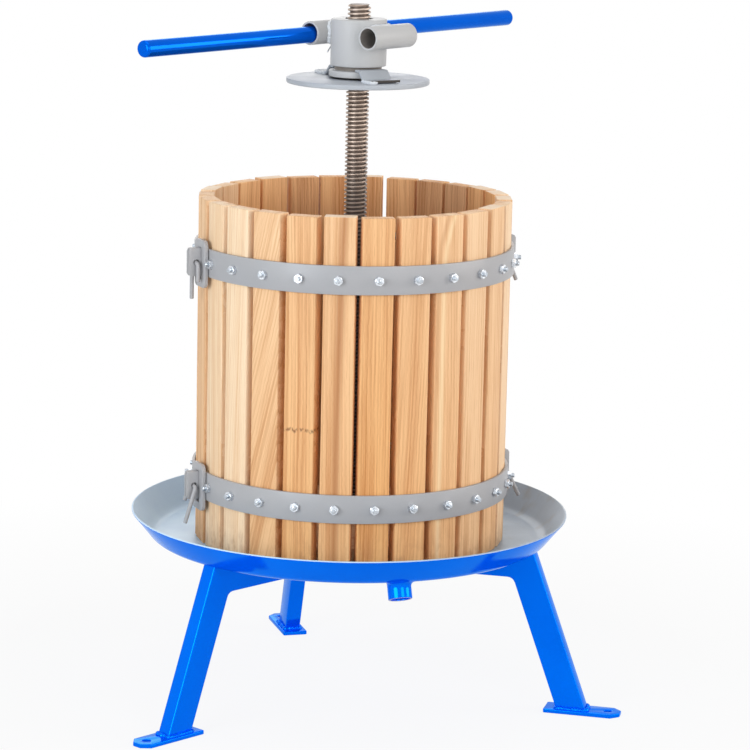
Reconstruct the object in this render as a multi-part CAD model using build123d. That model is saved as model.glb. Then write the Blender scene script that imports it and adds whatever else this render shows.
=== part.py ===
from build123d import *
import math
import os

# Manual fruit press: a slatted basket in a pan on a three-legged stand, with a fixed screw spindle
# through its middle and a turning head that drives a pressure plate down.
# Millimetres, +Z up along the spindle, origin on the floor in the middle of the foot bolt circle.
# The spout points to -Y. Angles around the press are counted from -Y towards +X.

# Basket of staves
STAVES_PER_HALF = 13
STAVE_FACE_R = 191.0
STAVE_T = 19.0
STAVE_H = 425.0
STAVE_GAP = 3.8
STAVE_EDGE_R = 1.5
BASKET_TURN = 7.0

# Steel bands, their bent-out lugs and the stave bolts
BAND_T = 4.0
BAND_H = 34.0
LOWER_BAND_Z = 76.0
UPPER_BAND_DROP = 74.0
BAND_PLAY = 0.1
SPLIT_GAP = 2.0
LUG_TIP = 9.0
LUG_CORNER_R = 3.0
LUG_HOLE_PLAY = 1.25
BOLT_R = 3.0
BOLT_HOLE_PLAY = 0.3
BOLT_HEAD_R = 7.0
BOLT_HEAD_T = 3.0
BOLT_STICKOUT = 4.0
NUT_FLATS = 10.0
NUT_T = 5.0

# Latches: a slotted clip plate over each pair of lugs and a bent rod through their holes
CLIP_T = 5.0
CLIP_W = 35.0
CLIP_MARGIN = 9.5
CLIP_CORNER_R = 7.0
CLIP_PLAY = 0.3
CLIP_SLOT_SIDE = 0.6
CLIP_SLOT_LONG = 4.5
CLIP_SLOT_CORNER_R = 0.6
PIN_R = 2.5
PIN_BEND_R = 5.0
PIN_STANDOFF = 1.0
PIN_LONG_LEG = 46.0
PIN_SHORT_LEG = 22.0
PIN_TO_CLIP = 3.2
PIN_SEAT_PLAY = 0.3
PIN_LONG_SIDE = {
    ("left", "lower"): 1,
    ("left", "upper"): -1,
    ("right", "lower"): -1,
    ("right", "upper"): 1,
}
PIN_HANG = {
    ("left", "lower"): 17.0,
    ("left", "upper"): 0.0,
    ("right", "lower"): 27.0,
    ("right", "upper"): 24.0,
}

# Pan and spout
PAN_TROUGH_W = 52.0
PAN_WALL_RUN = 27.0
PAN_UNDERSIDE_Z = 202.0
PAN_WALL_RISE = 33.5
PAN_T = 2.5
PAN_CORNER_R = 18.0
SPOUT_BORE_R = 11.75
SPOUT_WALL = 2.6
SPOUT_LENGTH = 23.5
SPOUT_SET_IN = 19.0
SPOUT_TILT = 24.0

# Stand: rectangular tube arms mitred to splayed legs, with a plate foot on each
LEG_COUNT = 3
TUBE_DEPTH = 35.0
TUBE_WIDTH = 20.0
TUBE_WALL = 2.0
LEG_TILT = 20.0
FOOT_HOLE_PAST_PAN = 64.059
FOOT_HOLE_R = 5.0
FOOT_HOLE_TO_LEG = 45.0
FOOT_HOLE_TO_END = 16.0
FOOT_INNER_MARGIN = 15.0
FOOT_SIDE_MARGIN = 6.0
FOOT_T = 5.0
FOOT_CORNER_CUT = 10.0

# Spindle and how it is held under the pan
SPINDLE_R = 14.0
SPINDLE_ABOVE_HUB = 17.2
SPINDLE_TIP_CHAMFER = 2.0
SPIGOT_R = 10.0
SPIGOT_PLAY = 0.2
SPIGOT_STICKOUT = 4.0
ANCHOR_R = 30.0
ANCHOR_NUT_FLATS = 30.0
ANCHOR_NUT_T = 16.0
WASHER_R = 20.0
WASHER_T = 3.0

# Press head: turning hub with two handle sockets, on a pressure plate with retaining clips
PLATE_R = 87.0
PLATE_T = 6.0
PLATE_ABOVE_BASKET = 143.1
PLATE_BORE_PLAY = 3.0
HEAD_PLAY = 1.8
HUB_WALL = 20.0
HUB_H = 56.9
HUB_BORE_PLAY = 0.3
HUB_MOUTH = 3.0
HUB_EDGE = 1.5
NECK_WALL = 14.5
NECK_H = 5.2
FLANGE_W = 7.0
FLANGE_T = 8.3
RETAINER_ANGLE = 12.0
RETAINER_T = 3.0
RETAINER_W = 39.0
RETAINER_SET_IN = 15.0
RETAINER_PLAY = 0.2
RETAINER_NECK_PLAY = 1.0
RETAINER_LIP_PAST = 3.0
RETAINER_SLOPE = 45.0

# Handle bar in its socket
SOCKET_PLAY = 1.9
SOCKET_WALL = 2.5
SOCKET_LENGTH = 78.0
SOCKET_DROP = 19.1
SOCKET_WELD_BITE = 2.9
HANDLE_ANGLE = 35.3
BAR_R = 10.0
BAR_LENGTH = 697.0
BAR_OFFSET = 14.5
BAR_END_FLAT_R = 6.0
BAR_SEAT_PLAY = 0.1
SPLIT_PIN_R = 1.6
SPLIT_PIN_PLAY = 0.3
SPLIT_PIN_ALONG = 6.0
SPLIT_PIN_TAIL = 14.0
SPLIT_PIN_SPREAD = 46.0
SPLIT_PIN_EYE_R = 3.0

# Loose half-moon boards that lie in the basket
BOARD_T = 22.0
BOARD_SIDE_PLAY = 4.0
BOARD_SPLIT = 3.0
BOARD_NOTCH_PLAY = 4.0

# Worked out from the sizes above
STAVE_PITCH = 180.0 / STAVES_PER_HALF
HALF_PITCH_TAN = math.tan(math.radians(STAVE_PITCH / 2))
STAVE_INNER_R = STAVE_FACE_R - STAVE_T
UPPER_BAND_Z = STAVE_H - UPPER_BAND_DROP
STAVE_HALF_W = STAVE_INNER_R * HALF_PITCH_TAN - STAVE_GAP / 2
STAVE_CORNER_R = math.hypot(STAVE_FACE_R, STAVE_HALF_W)
BAND_IN_R = STAVE_CORNER_R + BAND_PLAY
BAND_OUT_R = BAND_IN_R + BAND_T
FLOOR_Z = PAN_UNDERSIDE_Z + PAN_T
PAN_FLAT_R = STAVE_CORNER_R + PAN_TROUGH_W
PAN_RIM_R = PAN_FLAT_R + PAN_WALL_RUN
SPOUT_OUT_R = SPOUT_BORE_R + SPOUT_WALL
LUG_FACE = SPLIT_GAP / 2 + BAND_T
CLIP_FACE_R = BAND_OUT_R + CLIP_PLAY + CLIP_T
PIN_AXIS_R = CLIP_FACE_R + PIN_TO_CLIP + PIN_R
LUG_HOLE_R = PIN_R + LUG_HOLE_PLAY
LUG_END_R = PIN_AXIS_R + LUG_TIP
PIN_DROP = LUG_HOLE_R - PIN_R - PIN_SEAT_PLAY
TILT = math.radians(LEG_TILT)
ARM_TOP_Z = PAN_UNDERSIDE_Z
ARM_LOW_Z = ARM_TOP_Z - TUBE_DEPTH
FOOT_BOLT_R = PAN_RIM_R + FOOT_HOLE_PAST_PAN
LEG_FOOT_R = FOOT_BOLT_R - FOOT_HOLE_TO_LEG
LEG_HALF = TUBE_DEPTH / 2 / math.cos(TILT)
FOOT_LENGTH = FOOT_HOLE_TO_END + FOOT_HOLE_TO_LEG + LEG_HALF + FOOT_INNER_MARGIN
FOOT_WIDTH = TUBE_WIDTH + 2 * FOOT_SIDE_MARGIN
MITRE_TOP_R = LEG_FOOT_R + LEG_HALF - (ARM_TOP_Z - FOOT_T) * math.tan(TILT)
MITRE_LOW_R = MITRE_TOP_R - TUBE_DEPTH * (1 - math.sin(TILT)) / math.cos(TILT)
WALL_ANGLE = math.degrees(math.atan2(PAN_WALL_RISE, PAN_WALL_RUN))
PLATE_TOP_Z = FLOOR_Z + STAVE_H + PLATE_ABOVE_BASKET
PLATE_BORE_R = SPINDLE_R + PLATE_BORE_PLAY
HUB_R = SPINDLE_R + HUB_WALL
NECK_R = SPINDLE_R + NECK_WALL
FLANGE_R = NECK_R + FLANGE_W
RETAINER_FOOT_R = PLATE_R - RETAINER_SET_IN
FLANGE_LOW_Z = PLATE_TOP_Z + HEAD_PLAY
FLANGE_TOP_Z = FLANGE_LOW_Z + FLANGE_T
HUB_LOW_Z = FLANGE_TOP_Z + NECK_H
HUB_TOP_Z = HUB_LOW_Z + HUB_H
SPINDLE_TOP_Z = HUB_TOP_Z + SPINDLE_ABOVE_HUB
HUB_BORE_R = SPINDLE_R + HUB_BORE_PLAY
SOCKET_Z = HUB_TOP_Z - SOCKET_DROP
SOCKET_BORE_R = BAR_R + SOCKET_PLAY
SOCKET_OUT_R = SOCKET_BORE_R + SOCKET_WALL
SOCKET_REACH = HUB_R + SOCKET_OUT_R - SOCKET_WELD_BITE
BAR_DROP = SOCKET_PLAY - BAR_SEAT_PLAY

# Which end of a piece stands at its place
STANDING = (Align.CENTER, Align.CENTER, Align.MIN)
HANGING = (Align.CENTER, Align.CENTER, Align.MAX)
FRONT_HALF = (Align.CENTER, Align.MAX, Align.CENTER)

os.makedirs("parts", exist_ok=True)


def save(name, *solids):
    "Write one node as its own STEP file"
    shape = solids[0] if len(solids) == 1 else Compound(children=list(solids))
    export_step(shape, f"parts/{name}.step")


def around(angle):
    "Turn a piece that was built on -Y to its angle around the press"
    return Rot(0, 0, angle)


def in_basket(angle):
    "As around, counted within the turned basket"
    return around(BASKET_TURN + angle)


def one(shape):
    "The single solid that a cut or a union leaves"
    return shape.solids()[0] if len(shape.solids()) == 1 else shape


def outward(radius, length, start, z=0.0):
    "A round bar that points to -Y from a start distance"
    return Pos(0, -start, z) * Rot(90, 0, 0) * Cylinder(radius, length, align=STANDING)


def hex_outward(flats, length, start, z):
    "A hexagon prism that points to -Y from a start distance"
    sketch = RegularPolygon(flats / 2, 6, major_radius=False)
    return Pos(0, -start, z) * Rot(90, 0, 0) * extrude(sketch, length)


def side_profile(points, width):
    "A profile drawn as distance and height, made as thick as width across -Y"
    face = make_face(Polyline([(-r, z) for r, z in points], close=True).edges())
    solid = extrude(face, width / 2, both=True)
    return Rot(0, 0, 90) * Rot(90, 0, 0) * solid


def stave_z(band_z):
    "Height of a band's middle above the floor of the press"
    return FLOOR_Z + band_z


# Staves
def make_stave():
    "A square-edged plank, so that the gap between two of them is narrowest inside the basket"
    middle = STAVE_FACE_R - STAVE_T / 2
    stave = Pos(0, -middle, FLOOR_Z) * Box(2 * STAVE_HALF_W, STAVE_T, STAVE_H, align=STANDING)
    edges = stave.edges().filter_by(Axis.Z).sort_by(Axis.Y)[:2]
    stave = fillet(edges, STAVE_EDGE_R)
    for band_z in (LOWER_BAND_Z, UPPER_BAND_Z):
        z = stave_z(band_z)
        stave -= outward(BOLT_R + BOLT_HOLE_PLAY, STAVE_T, STAVE_INNER_R, z)
        stave -= outward(BOLT_HEAD_R + BOLT_HOLE_PLAY, BOLT_HEAD_T, STAVE_INNER_R, z)
    return one(stave)


def stave_angles(half):
    first = -90.0 + STAVE_PITCH / 2 + (0.0 if half == "front" else 180.0)
    return [first + STAVE_PITCH * i for i in range(STAVES_PER_HALF)]


# Bands with a lug bent out at each end
def make_band(band_z):
    z = stave_z(band_z)
    ring = Cylinder(BAND_OUT_R, BAND_H) - Cylinder(BAND_IN_R, BAND_H)
    keep = Box(2 * BAND_OUT_R, BAND_OUT_R, BAND_H, align=FRONT_HALF)
    band = ring & (Pos(0, -SPLIT_GAP / 2, 0) * keep)
    for side in (-1, 1):
        length = LUG_END_R - BAND_IN_R
        lug = Box(length, BAND_T, BAND_H)
        lug = fillet(lug.edges().filter_by(Axis.Y).sort_by(Axis.X)[2:], LUG_CORNER_R)
        lug = Pos(BAND_IN_R + length / 2, 0, 0) * lug
        lug -= Pos(PIN_AXIS_R, 0, 0) * Rot(90, 0, 0) * Cylinder(LUG_HOLE_R, BAND_T)
        if side < 0:
            lug = Rot(0, 0, 180) * lug
        band += Pos(0, -SPLIT_GAP / 2 - BAND_T / 2, 0) * lug
    for angle in stave_angles("front"):
        hole = outward(BOLT_R + BOLT_HOLE_PLAY, BAND_OUT_R - STAVE_INNER_R, STAVE_INNER_R)
        band -= around(angle) * hole
    return Pos(0, 0, z) * one(band)


def make_bolt(z):
    length = BAND_OUT_R + NUT_T + BOLT_STICKOUT - STAVE_INNER_R
    bolt = outward(BOLT_R, length, STAVE_INNER_R, z)
    bolt += outward(BOLT_HEAD_R, BOLT_HEAD_T, STAVE_INNER_R, z)
    return one(bolt)


def make_nut(z):
    nut = hex_outward(NUT_FLATS, NUT_T, BAND_OUT_R, z)
    return one(nut - outward(BOLT_R, NUT_T, BAND_OUT_R, z))


# Latches, built at the split on +X of the unturned basket
def make_clip(z):
    height = BAND_H + CLIP_SLOT_LONG + 2 * CLIP_MARGIN
    slot_w = 2 * LUG_FACE + 2 * CLIP_SLOT_SIDE
    slot_h = BAND_H + CLIP_SLOT_LONG
    outline = RectangleRounded(CLIP_W, height, CLIP_CORNER_R)
    outline -= RectangleRounded(slot_w, slot_h, CLIP_SLOT_CORNER_R)
    hang = BAND_H / 2 + CLIP_PLAY - slot_h / 2
    seat = Plane(origin=(BAND_OUT_R + CLIP_PLAY, 0, z + hang), x_dir=(0, 1, 0), z_dir=(1, 0, 0))
    return one(extrude(seat * outline, CLIP_T))


def make_pin(z, long_side, hang):
    "Rod through both lug holes, with a long and a short leg that hang swung out by an angle"
    side = LUG_FACE + PIN_STANDOFF + PIN_BEND_R
    top = z - PIN_DROP
    points = [
        (PIN_AXIS_R, long_side * side, top - PIN_LONG_LEG),
        (PIN_AXIS_R, long_side * side, top),
        (PIN_AXIS_R, -long_side * side, top),
        (PIN_AXIS_R, -long_side * side, top - PIN_SHORT_LEG),
    ]
    path = FilletPolyline(*points, radius=PIN_BEND_R)
    section = Plane(origin=points[0], z_dir=(0, 0, 1)) * Circle(PIN_R)
    rod = one(sweep(section, path=path))
    pivot = Pos(PIN_AXIS_R, 0, top)
    return pivot * Rot(0, -hang, 0) * pivot.inverse() * rod


# Pan, drawn as half a section and turned about the spindle
def pan_outline(thickness):
    "Half section of the pan's underside, closed at a thickness above it"
    a = math.radians(WALL_ANGLE)
    rim = (PAN_RIM_R, PAN_UNDERSIDE_Z + PAN_WALL_RISE)
    rim_top = (rim[0] - thickness * math.sin(a), rim[1] + thickness * math.cos(a))
    corner_in = (PAN_FLAT_R - thickness * math.tan(a / 2), PAN_UNDERSIDE_Z + thickness)
    bore = SPIGOT_R + SPIGOT_PLAY
    points = [
        (bore, PAN_UNDERSIDE_Z),
        (PAN_FLAT_R, PAN_UNDERSIDE_Z),
        rim,
        rim_top,
        corner_in,
        (bore, PAN_UNDERSIDE_Z + thickness),
    ]
    return points


def pan_section(thickness):
    "The pan's half section, round at both corners between the floor and the wall"
    points = pan_outline(thickness)
    face = make_face(Polyline(points, close=True).edges())
    outside_r = PAN_CORNER_R + PAN_T
    for corner, radius in ((points[1], outside_r), (points[4], outside_r - thickness)):
        face = fillet(face.vertices().sort_by_distance(corner)[0], radius)
    return face


def spout_frame():
    "Where the spout's axis goes down through the pan's underside, leaning outwards"
    a = math.radians(SPOUT_TILT)
    r = PAN_FLAT_R - SPOUT_SET_IN
    return Plane(origin=(0, -r, PAN_UNDERSIDE_Z), x_dir=(1, 0, 0), z_dir=(0, -math.sin(a), -math.cos(a)))


def spout_cylinder(radius, back, front):
    return spout_frame() * Pos(0, 0, -back) * Cylinder(radius, back + front, align=STANDING)


def make_pan():
    pan = revolve(Plane.XZ * pan_section(PAN_T), Axis.Z)
    return one(pan - spout_cylinder(SPOUT_BORE_R, 4 * PAN_T, 4 * PAN_T))


def make_spout():
    "Pipe cut to the pan's underside, with the longer of its two pieces kept"
    back = SPOUT_OUT_R
    tube = spout_cylinder(SPOUT_OUT_R, back, SPOUT_LENGTH)
    tube -= spout_cylinder(SPOUT_BORE_R, back, SPOUT_LENGTH)
    inside = revolve(Plane.XZ * pan_section(3 * PAN_T), Axis.Z)
    pieces = (tube - inside).solids()
    return max(pieces, key=lambda s: s.volume)


# Stand
def arm_points(inset):
    "Side outline of an arm, with its long sides moved in"
    slope = (MITRE_TOP_R - MITRE_LOW_R) / TUBE_DEPTH
    top = ARM_TOP_Z - inset
    low = ARM_LOW_Z + inset
    return [
        (0.0, top),
        (MITRE_TOP_R - slope * inset, top),
        (MITRE_LOW_R + slope * inset, low),
        (0.0, low),
    ]


def leg_points(inset):
    "Side outline of a leg from its mitre to its foot, with its long sides moved in"
    slope = (MITRE_TOP_R - MITRE_LOW_R) / TUBE_DEPTH
    top = (MITRE_TOP_R - slope * inset, ARM_TOP_Z - inset)
    low = (MITRE_LOW_R + slope * inset, ARM_LOW_Z + inset)
    foot_out = top[0] + (top[1] - FOOT_T) * math.tan(TILT)
    foot_in = low[0] + (low[1] - FOOT_T) * math.tan(TILT)
    return [top, (foot_out, FOOT_T), (foot_in, FOOT_T), low]


def make_arm():
    arm = side_profile(arm_points(0.0), TUBE_WIDTH)
    arm -= side_profile(arm_points(TUBE_WALL), TUBE_WIDTH - 2 * TUBE_WALL)
    boss = Cylinder(ANCHOR_R, 3 * TUBE_DEPTH)
    return one(arm - Pos(0, 0, ARM_TOP_Z) * boss)


def make_leg():
    leg = side_profile(leg_points(0.0), TUBE_WIDTH)
    return one(leg - side_profile(leg_points(TUBE_WALL), TUBE_WIDTH - 2 * TUBE_WALL))


def make_foot():
    outer = FOOT_BOLT_R + FOOT_HOLE_TO_END
    middle = outer - FOOT_LENGTH / 2
    foot = Pos(0, -middle, FOOT_T / 2) * Box(FOOT_WIDTH, FOOT_LENGTH, FOOT_T)
    foot = chamfer(foot.edges().filter_by(Axis.Z).sort_by(Axis.Y)[:2], FOOT_CORNER_CUT)
    return one(foot - Pos(0, -FOOT_BOLT_R, FOOT_T / 2) * Cylinder(FOOT_HOLE_R, FOOT_T))


def upright(radius, low, high, bore=0.0):
    "A round piece on the spindle axis between two heights"
    piece = Cylinder(radius, high - low, align=STANDING)
    if bore:
        piece -= Cylinder(bore, high - low, align=STANDING)
    return Pos(0, 0, low) * piece


def make_anchor():
    return one(upright(ANCHOR_R, ARM_LOW_Z, ARM_TOP_Z, SPIGOT_R + SPIGOT_PLAY))


def make_washer():
    return one(upright(WASHER_R, ARM_LOW_Z - WASHER_T, ARM_LOW_Z, SPIGOT_R + SPIGOT_PLAY))


def make_anchor_nut():
    nut = extrude(RegularPolygon(ANCHOR_NUT_FLATS / 2, 6, major_radius=False), ANCHOR_NUT_T)
    nut -= Cylinder(SPIGOT_R, ANCHOR_NUT_T, align=STANDING)
    return Pos(0, 0, ARM_LOW_Z - WASHER_T - ANCHOR_NUT_T) * one(nut)


def make_spindle():
    rod = upright(SPINDLE_R, FLOOR_Z, SPINDLE_TOP_Z)
    rod = chamfer(rod.edges().sort_by(Axis.Z)[-1], SPINDLE_TIP_CHAMFER)
    low = ARM_LOW_Z - WASHER_T - ANCHOR_NUT_T - SPIGOT_STICKOUT
    return one(rod + upright(SPIGOT_R, low, FLOOR_Z))


# Press head
def handle_frame(side, along=0.0):
    "Place on a socket's axis: side 1 is the socket with the bar, side -1 the empty one"
    return Rot(0, 0, HANDLE_ANGLE) * Pos(along, side * SOCKET_REACH, SOCKET_Z)


def along_handle(radius, length):
    return Rot(0, 90, 0) * Cylinder(radius, length)


def make_hub():
    hub = upright(HUB_R, HUB_LOW_Z, HUB_TOP_Z)
    hub = chamfer(hub.edges().sort_by(Axis.Z)[-1], HUB_EDGE)
    hub += upright(NECK_R, FLANGE_TOP_Z, HUB_LOW_Z)
    hub += upright(FLANGE_R, FLANGE_LOW_Z, FLANGE_TOP_Z)
    hub -= upright(HUB_BORE_R, FLANGE_LOW_Z, HUB_TOP_Z)
    mouth = Cone(HUB_BORE_R, HUB_BORE_R + HUB_MOUTH, HUB_MOUTH, align=HANGING)
    hub -= Pos(0, 0, HUB_TOP_Z) * mouth
    for side in (1, -1):
        hub -= handle_frame(side) * along_handle(SOCKET_OUT_R, SOCKET_LENGTH)
    return one(hub)


def make_socket(side):
    tube = along_handle(SOCKET_OUT_R, SOCKET_LENGTH) - along_handle(SOCKET_BORE_R, SOCKET_LENGTH)
    socket = handle_frame(side) * tube
    if side > 0:
        hole = Cylinder(SPLIT_PIN_R + SPLIT_PIN_PLAY, 4 * SOCKET_OUT_R)
        socket -= handle_frame(side, SPLIT_PIN_ALONG) * hole
    return one(socket)


def make_bar():
    bar = along_handle(BAR_R, BAR_LENGTH)
    bar = fillet(bar.edges().filter_by(GeomType.CIRCLE), BAR_R - BAR_END_FLAT_R)
    bar = handle_frame(1, BAR_OFFSET) * Pos(0, 0, -BAR_DROP) * bar
    hole = Cylinder(SPLIT_PIN_R + SPLIT_PIN_PLAY, 4 * SOCKET_OUT_R)
    return one(bar - handle_frame(1, SPLIT_PIN_ALONG) * hole)


def make_split_pin():
    "Pin with its eye beaten flat on top of the socket and its two legs spread below"
    ends = SOCKET_OUT_R + SPLIT_PIN_PLAY + SPLIT_PIN_R
    pin = Cylinder(SPLIT_PIN_R, 2 * ends)
    pin += Pos(SPLIT_PIN_EYE_R, 0, ends) * Torus(SPLIT_PIN_EYE_R, SPLIT_PIN_R)
    for turn in (SPLIT_PIN_SPREAD, -SPLIT_PIN_SPREAD):
        leg = Cylinder(SPLIT_PIN_R / 2, SPLIT_PIN_TAIL, align=HANGING)
        pin += Pos(0, 0, SPLIT_PIN_R / 2 - ends) * Rot(0, turn, 0) * leg
    return one(handle_frame(1, SPLIT_PIN_ALONG) * pin)


def retainer_points():
    "Side outline of a clip: a lip over the hub's flange, a slope, and a foot that lies on the plate"
    slope = math.radians(RETAINER_SLOPE)
    lip_low = FLANGE_TOP_Z + RETAINER_PLAY
    lip_in = NECK_R + RETAINER_NECK_PLAY
    lip_out = FLANGE_R + RETAINER_LIP_PAST
    foot_in = lip_out + (lip_low - PLATE_TOP_Z) / math.tan(slope)
    bend = RETAINER_T * math.tan(slope / 2)
    return [
        (lip_in, lip_low),
        (lip_out, lip_low),
        (foot_in, PLATE_TOP_Z),
        (RETAINER_FOOT_R, PLATE_TOP_Z),
        (RETAINER_FOOT_R, PLATE_TOP_Z + RETAINER_T),
        (foot_in + bend, PLATE_TOP_Z + RETAINER_T),
        (lip_out + bend, lip_low + RETAINER_T),
        (lip_in, lip_low + RETAINER_T),
    ]


def make_retainer(angle):
    return around(angle) * one(side_profile(retainer_points(), RETAINER_W))


def make_plate():
    return one(upright(PLATE_R, PLATE_TOP_Z - PLATE_T, PLATE_TOP_Z, PLATE_BORE_R))


def make_board(side):
    outer = STAVE_INNER_R - BOARD_SIDE_PLAY
    disc = upright(outer, FLOOR_Z, FLOOR_Z + BOARD_T, SPINDLE_R + BOARD_NOTCH_PLAY)
    half = Box(2 * outer, outer, 2 * BOARD_T, align=FRONT_HALF)
    board = disc & (Pos(0, -BOARD_SPLIT / 2, FLOOR_Z) * half)
    return in_basket(0 if side == "front" else 180) * one(board)


# Basket nodes
stave = make_stave()
for half in ("front", "rear"):
    for number, angle in enumerate(stave_angles(half), start=1):
        save(f"stave_{half}_{number:02d}", in_basket(angle) * stave)
    bolts = []
    nuts = []
    for name, band_z in (("lower", LOWER_BAND_Z), ("upper", UPPER_BAND_Z)):
        turn = 0 if half == "front" else 180
        save(f"band_{half}_{name}", in_basket(turn) * make_band(band_z))
        for angle in stave_angles(half):
            bolts.append(in_basket(angle) * make_bolt(stave_z(band_z)))
            nuts.append(in_basket(angle) * make_nut(stave_z(band_z)))
    save(f"stave_bolts_{half}", *bolts)
    save(f"stave_nuts_{half}", *nuts)

for side, turn in (("left", 180), ("right", 0)):
    for name, band_z in (("lower", LOWER_BAND_Z), ("upper", UPPER_BAND_Z)):
        save(f"latch_clip_{side}_{name}", in_basket(turn) * make_clip(stave_z(band_z)))
        pin = make_pin(stave_z(band_z), PIN_LONG_SIDE[side, name], PIN_HANG[side, name])
        save(f"latch_pin_{side}_{name}", in_basket(turn) * pin)

# Stand nodes
LEG_NAMES = ("front_right", "rear", "front_left")
leg_angles = [180.0 / LEG_COUNT + 360.0 / LEG_COUNT * i for i in range(LEG_COUNT)]
for name, angle in zip(LEG_NAMES, leg_angles):
    save(f"leg_{name}", around(angle) * make_leg())
save("arms", *[around(angle) * make_arm() for angle in leg_angles])
save("feet", *[around(angle) * make_foot() for angle in leg_angles])
save("anchor_boss", make_anchor())
save("anchor_washer", make_washer())
save("anchor_nut", make_anchor_nut())
save("pan", make_pan())
save("spout", make_spout())
save("spindle", make_spindle())
save("press_boards", make_board("front"), make_board("rear"))

# Head nodes
save("hub", make_hub())
save("handle_sockets", make_socket(1), make_socket(-1))
save("handle_bar", make_bar())
save("split_pin", make_split_pin())
save("pressure_plate", make_plate())
save("retainer_clips", make_retainer(RETAINER_ANGLE), make_retainer(RETAINER_ANGLE + 180))
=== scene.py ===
"""Manual fruit press: the looks of every piece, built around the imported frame.

Pieces are drawn in millimetres in the press's own frame and scaled to metres when they are added.
Angles around the press are counted from -Y, where the spout is, towards +X.
"""
from collections import namedtuple
import math
import random

import bmesh
import bpy
from mathutils import Matrix, Vector, noise
from mathutils.geometry import tessellate_polygon


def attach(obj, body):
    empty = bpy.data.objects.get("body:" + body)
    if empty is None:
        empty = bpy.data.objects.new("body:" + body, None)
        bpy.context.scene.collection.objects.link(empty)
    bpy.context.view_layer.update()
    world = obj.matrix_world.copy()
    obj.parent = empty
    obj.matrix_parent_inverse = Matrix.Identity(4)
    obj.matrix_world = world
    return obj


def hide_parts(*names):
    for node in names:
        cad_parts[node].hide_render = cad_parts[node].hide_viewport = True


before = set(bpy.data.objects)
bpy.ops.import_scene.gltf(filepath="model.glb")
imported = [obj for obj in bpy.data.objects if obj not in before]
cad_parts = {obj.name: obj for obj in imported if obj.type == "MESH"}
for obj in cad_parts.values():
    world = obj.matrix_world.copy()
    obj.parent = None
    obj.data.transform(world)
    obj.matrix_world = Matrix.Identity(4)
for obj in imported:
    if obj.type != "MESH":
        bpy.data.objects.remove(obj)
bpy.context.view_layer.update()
NOISE_SEED = 3
noise.seed_set(NOISE_SEED)
MM = 0.001

# Basket
STAVES_PER_HALF = 13
STAVE_FACE_R = 191.0
STAVE_T = 19.0
STAVE_H = 425.0
STAVE_GAP = 3.8
STAVE_OUTER_EDGE = 1.6
STAVE_INNER_EDGE = 1.0
STAVE_END_EDGE = 1.0
STAVE_MOST_SHORT = 1.7
STAVE_MOST_BOW = 0.5
BASKET_TURN = 7.0
BOLT_HEAD_R = 7.0
BOLT_HEAD_T = 3.0
BOLT_HEAD_SINK = 0.2
BOLT_SEAT_PLAY = 0.3
BOLT_R = 3.0
BOLT_SHANK_R = 2.7
BOLT_SHANK_IN = 2.0
BOLT_ROOT_R = 2.45
BOLT_THREAD_IN_NUT = 1.0
BOLT_TIP = 0.6
BOLT_STICKOUT = 4.0
BOLT_PITCH = 1.0
NUT_FLATS = 10.0
NUT_BORE_R = 2.9
NUT_T = 5.0

# Bands and latches
BAND_T = 4.0
BAND_H = 34.0
BAND_EDGE = 0.7
BAND_PLAY = 0.1
LOWER_BAND_Z = 76.0
UPPER_BAND_DROP = 74.0
SPLIT_GAP = 2.0
LUG_BEND_R = 3.0
LUG_TIP = 9.0
LUG_CORNER_R = 3.0
LUG_HOLE_R = 3.75
LUG_HOLE_REACH = 9.0
CLIP_T = 5.0
CLIP_W = 35.0
CLIP_EDGE = 0.8
CLIP_MARGIN = 9.5
CLIP_CORNER_R = 7.0
CLIP_PLAY = 0.3
CLIP_SLOT_SIDE = 0.6
CLIP_SLOT_LONG = 4.5
CLIP_SLOT_CORNER_R = 1.0
PIN_R = 2.5
PIN_END = 0.8
PIN_BEND_R = 5.0
PIN_STANDOFF = 1.0
PIN_LONG_LEG = 46.0
PIN_SHORT_LEG = 22.0
PIN_TO_CLIP = 3.2
PIN_DROP = 0.95
PIN_HANG = {"left_lower": 17.0, "left_upper": 0.0, "right_lower": 27.0, "right_upper": 24.0}
PIN_LONG_SIDE = {"left_lower": 1, "left_upper": -1, "right_lower": -1, "right_upper": 1}

# Pan and spout
PAN_TROUGH_W = 52.0
PAN_WALL_RUN = 27.0
PAN_UNDERSIDE_Z = 202.0
PAN_WALL_RISE = 33.5
PAN_T = 2.5
PAN_LIP_R = 1.05
PAN_CORNER_R = 18.0
SPOUT_BORE_R = 11.75
SPOUT_WALL = 2.6
SPOUT_LENGTH = 23.5
SPOUT_SET_IN = 19.0
SPOUT_SINK = 1.0
SPOUT_HOLE_REACH = 14.0
SPOUT_TILT = math.radians(24.0)
SPOUT_WELD = 7.0
SPOUT_END_EDGE = 0.9
SPOUT_MOUTH_EDGE = 0.7
SPOUT_BARE_END = 0.4

# Stand
LEG_ANGLES = {"front_right": 60.0, "rear": 180.0, "front_left": 300.0}
TUBE_DEPTH = 35.0
TUBE_WIDTH = 20.0
TUBE_CORNER_R = 2.0
ARM_BITE = 2.0
GUSSET_R = 9.0
GUSSET_SET_IN = 1.2
LEG_TILT = math.radians(20.0)
FOOT_BOLT_R = 335.0
FOOT_HOLE_R = 5.0
FOOT_HOLE_TO_LEG = 45.0
FOOT_HOLE_TO_END = 16.0
FOOT_INNER_MARGIN = 15.0
FOOT_SIDE_MARGIN = 6.0
FOOT_T = 5.0
FOOT_CORNER_CUT = 10.0
FOOT_CORNER_R = 2.0
FOOT_EDGE = 0.9
FOOT_WELD_R = 2.9
FOOT_WELD_OUT = 0.8
FOOT_WELD_UP = 0.4
FOOT_WELD_CORNER_R = 2.5
FOOT_WELD_RIPPLE = 3.6
FOOT_WELD_LUMPS = 0.55

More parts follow.
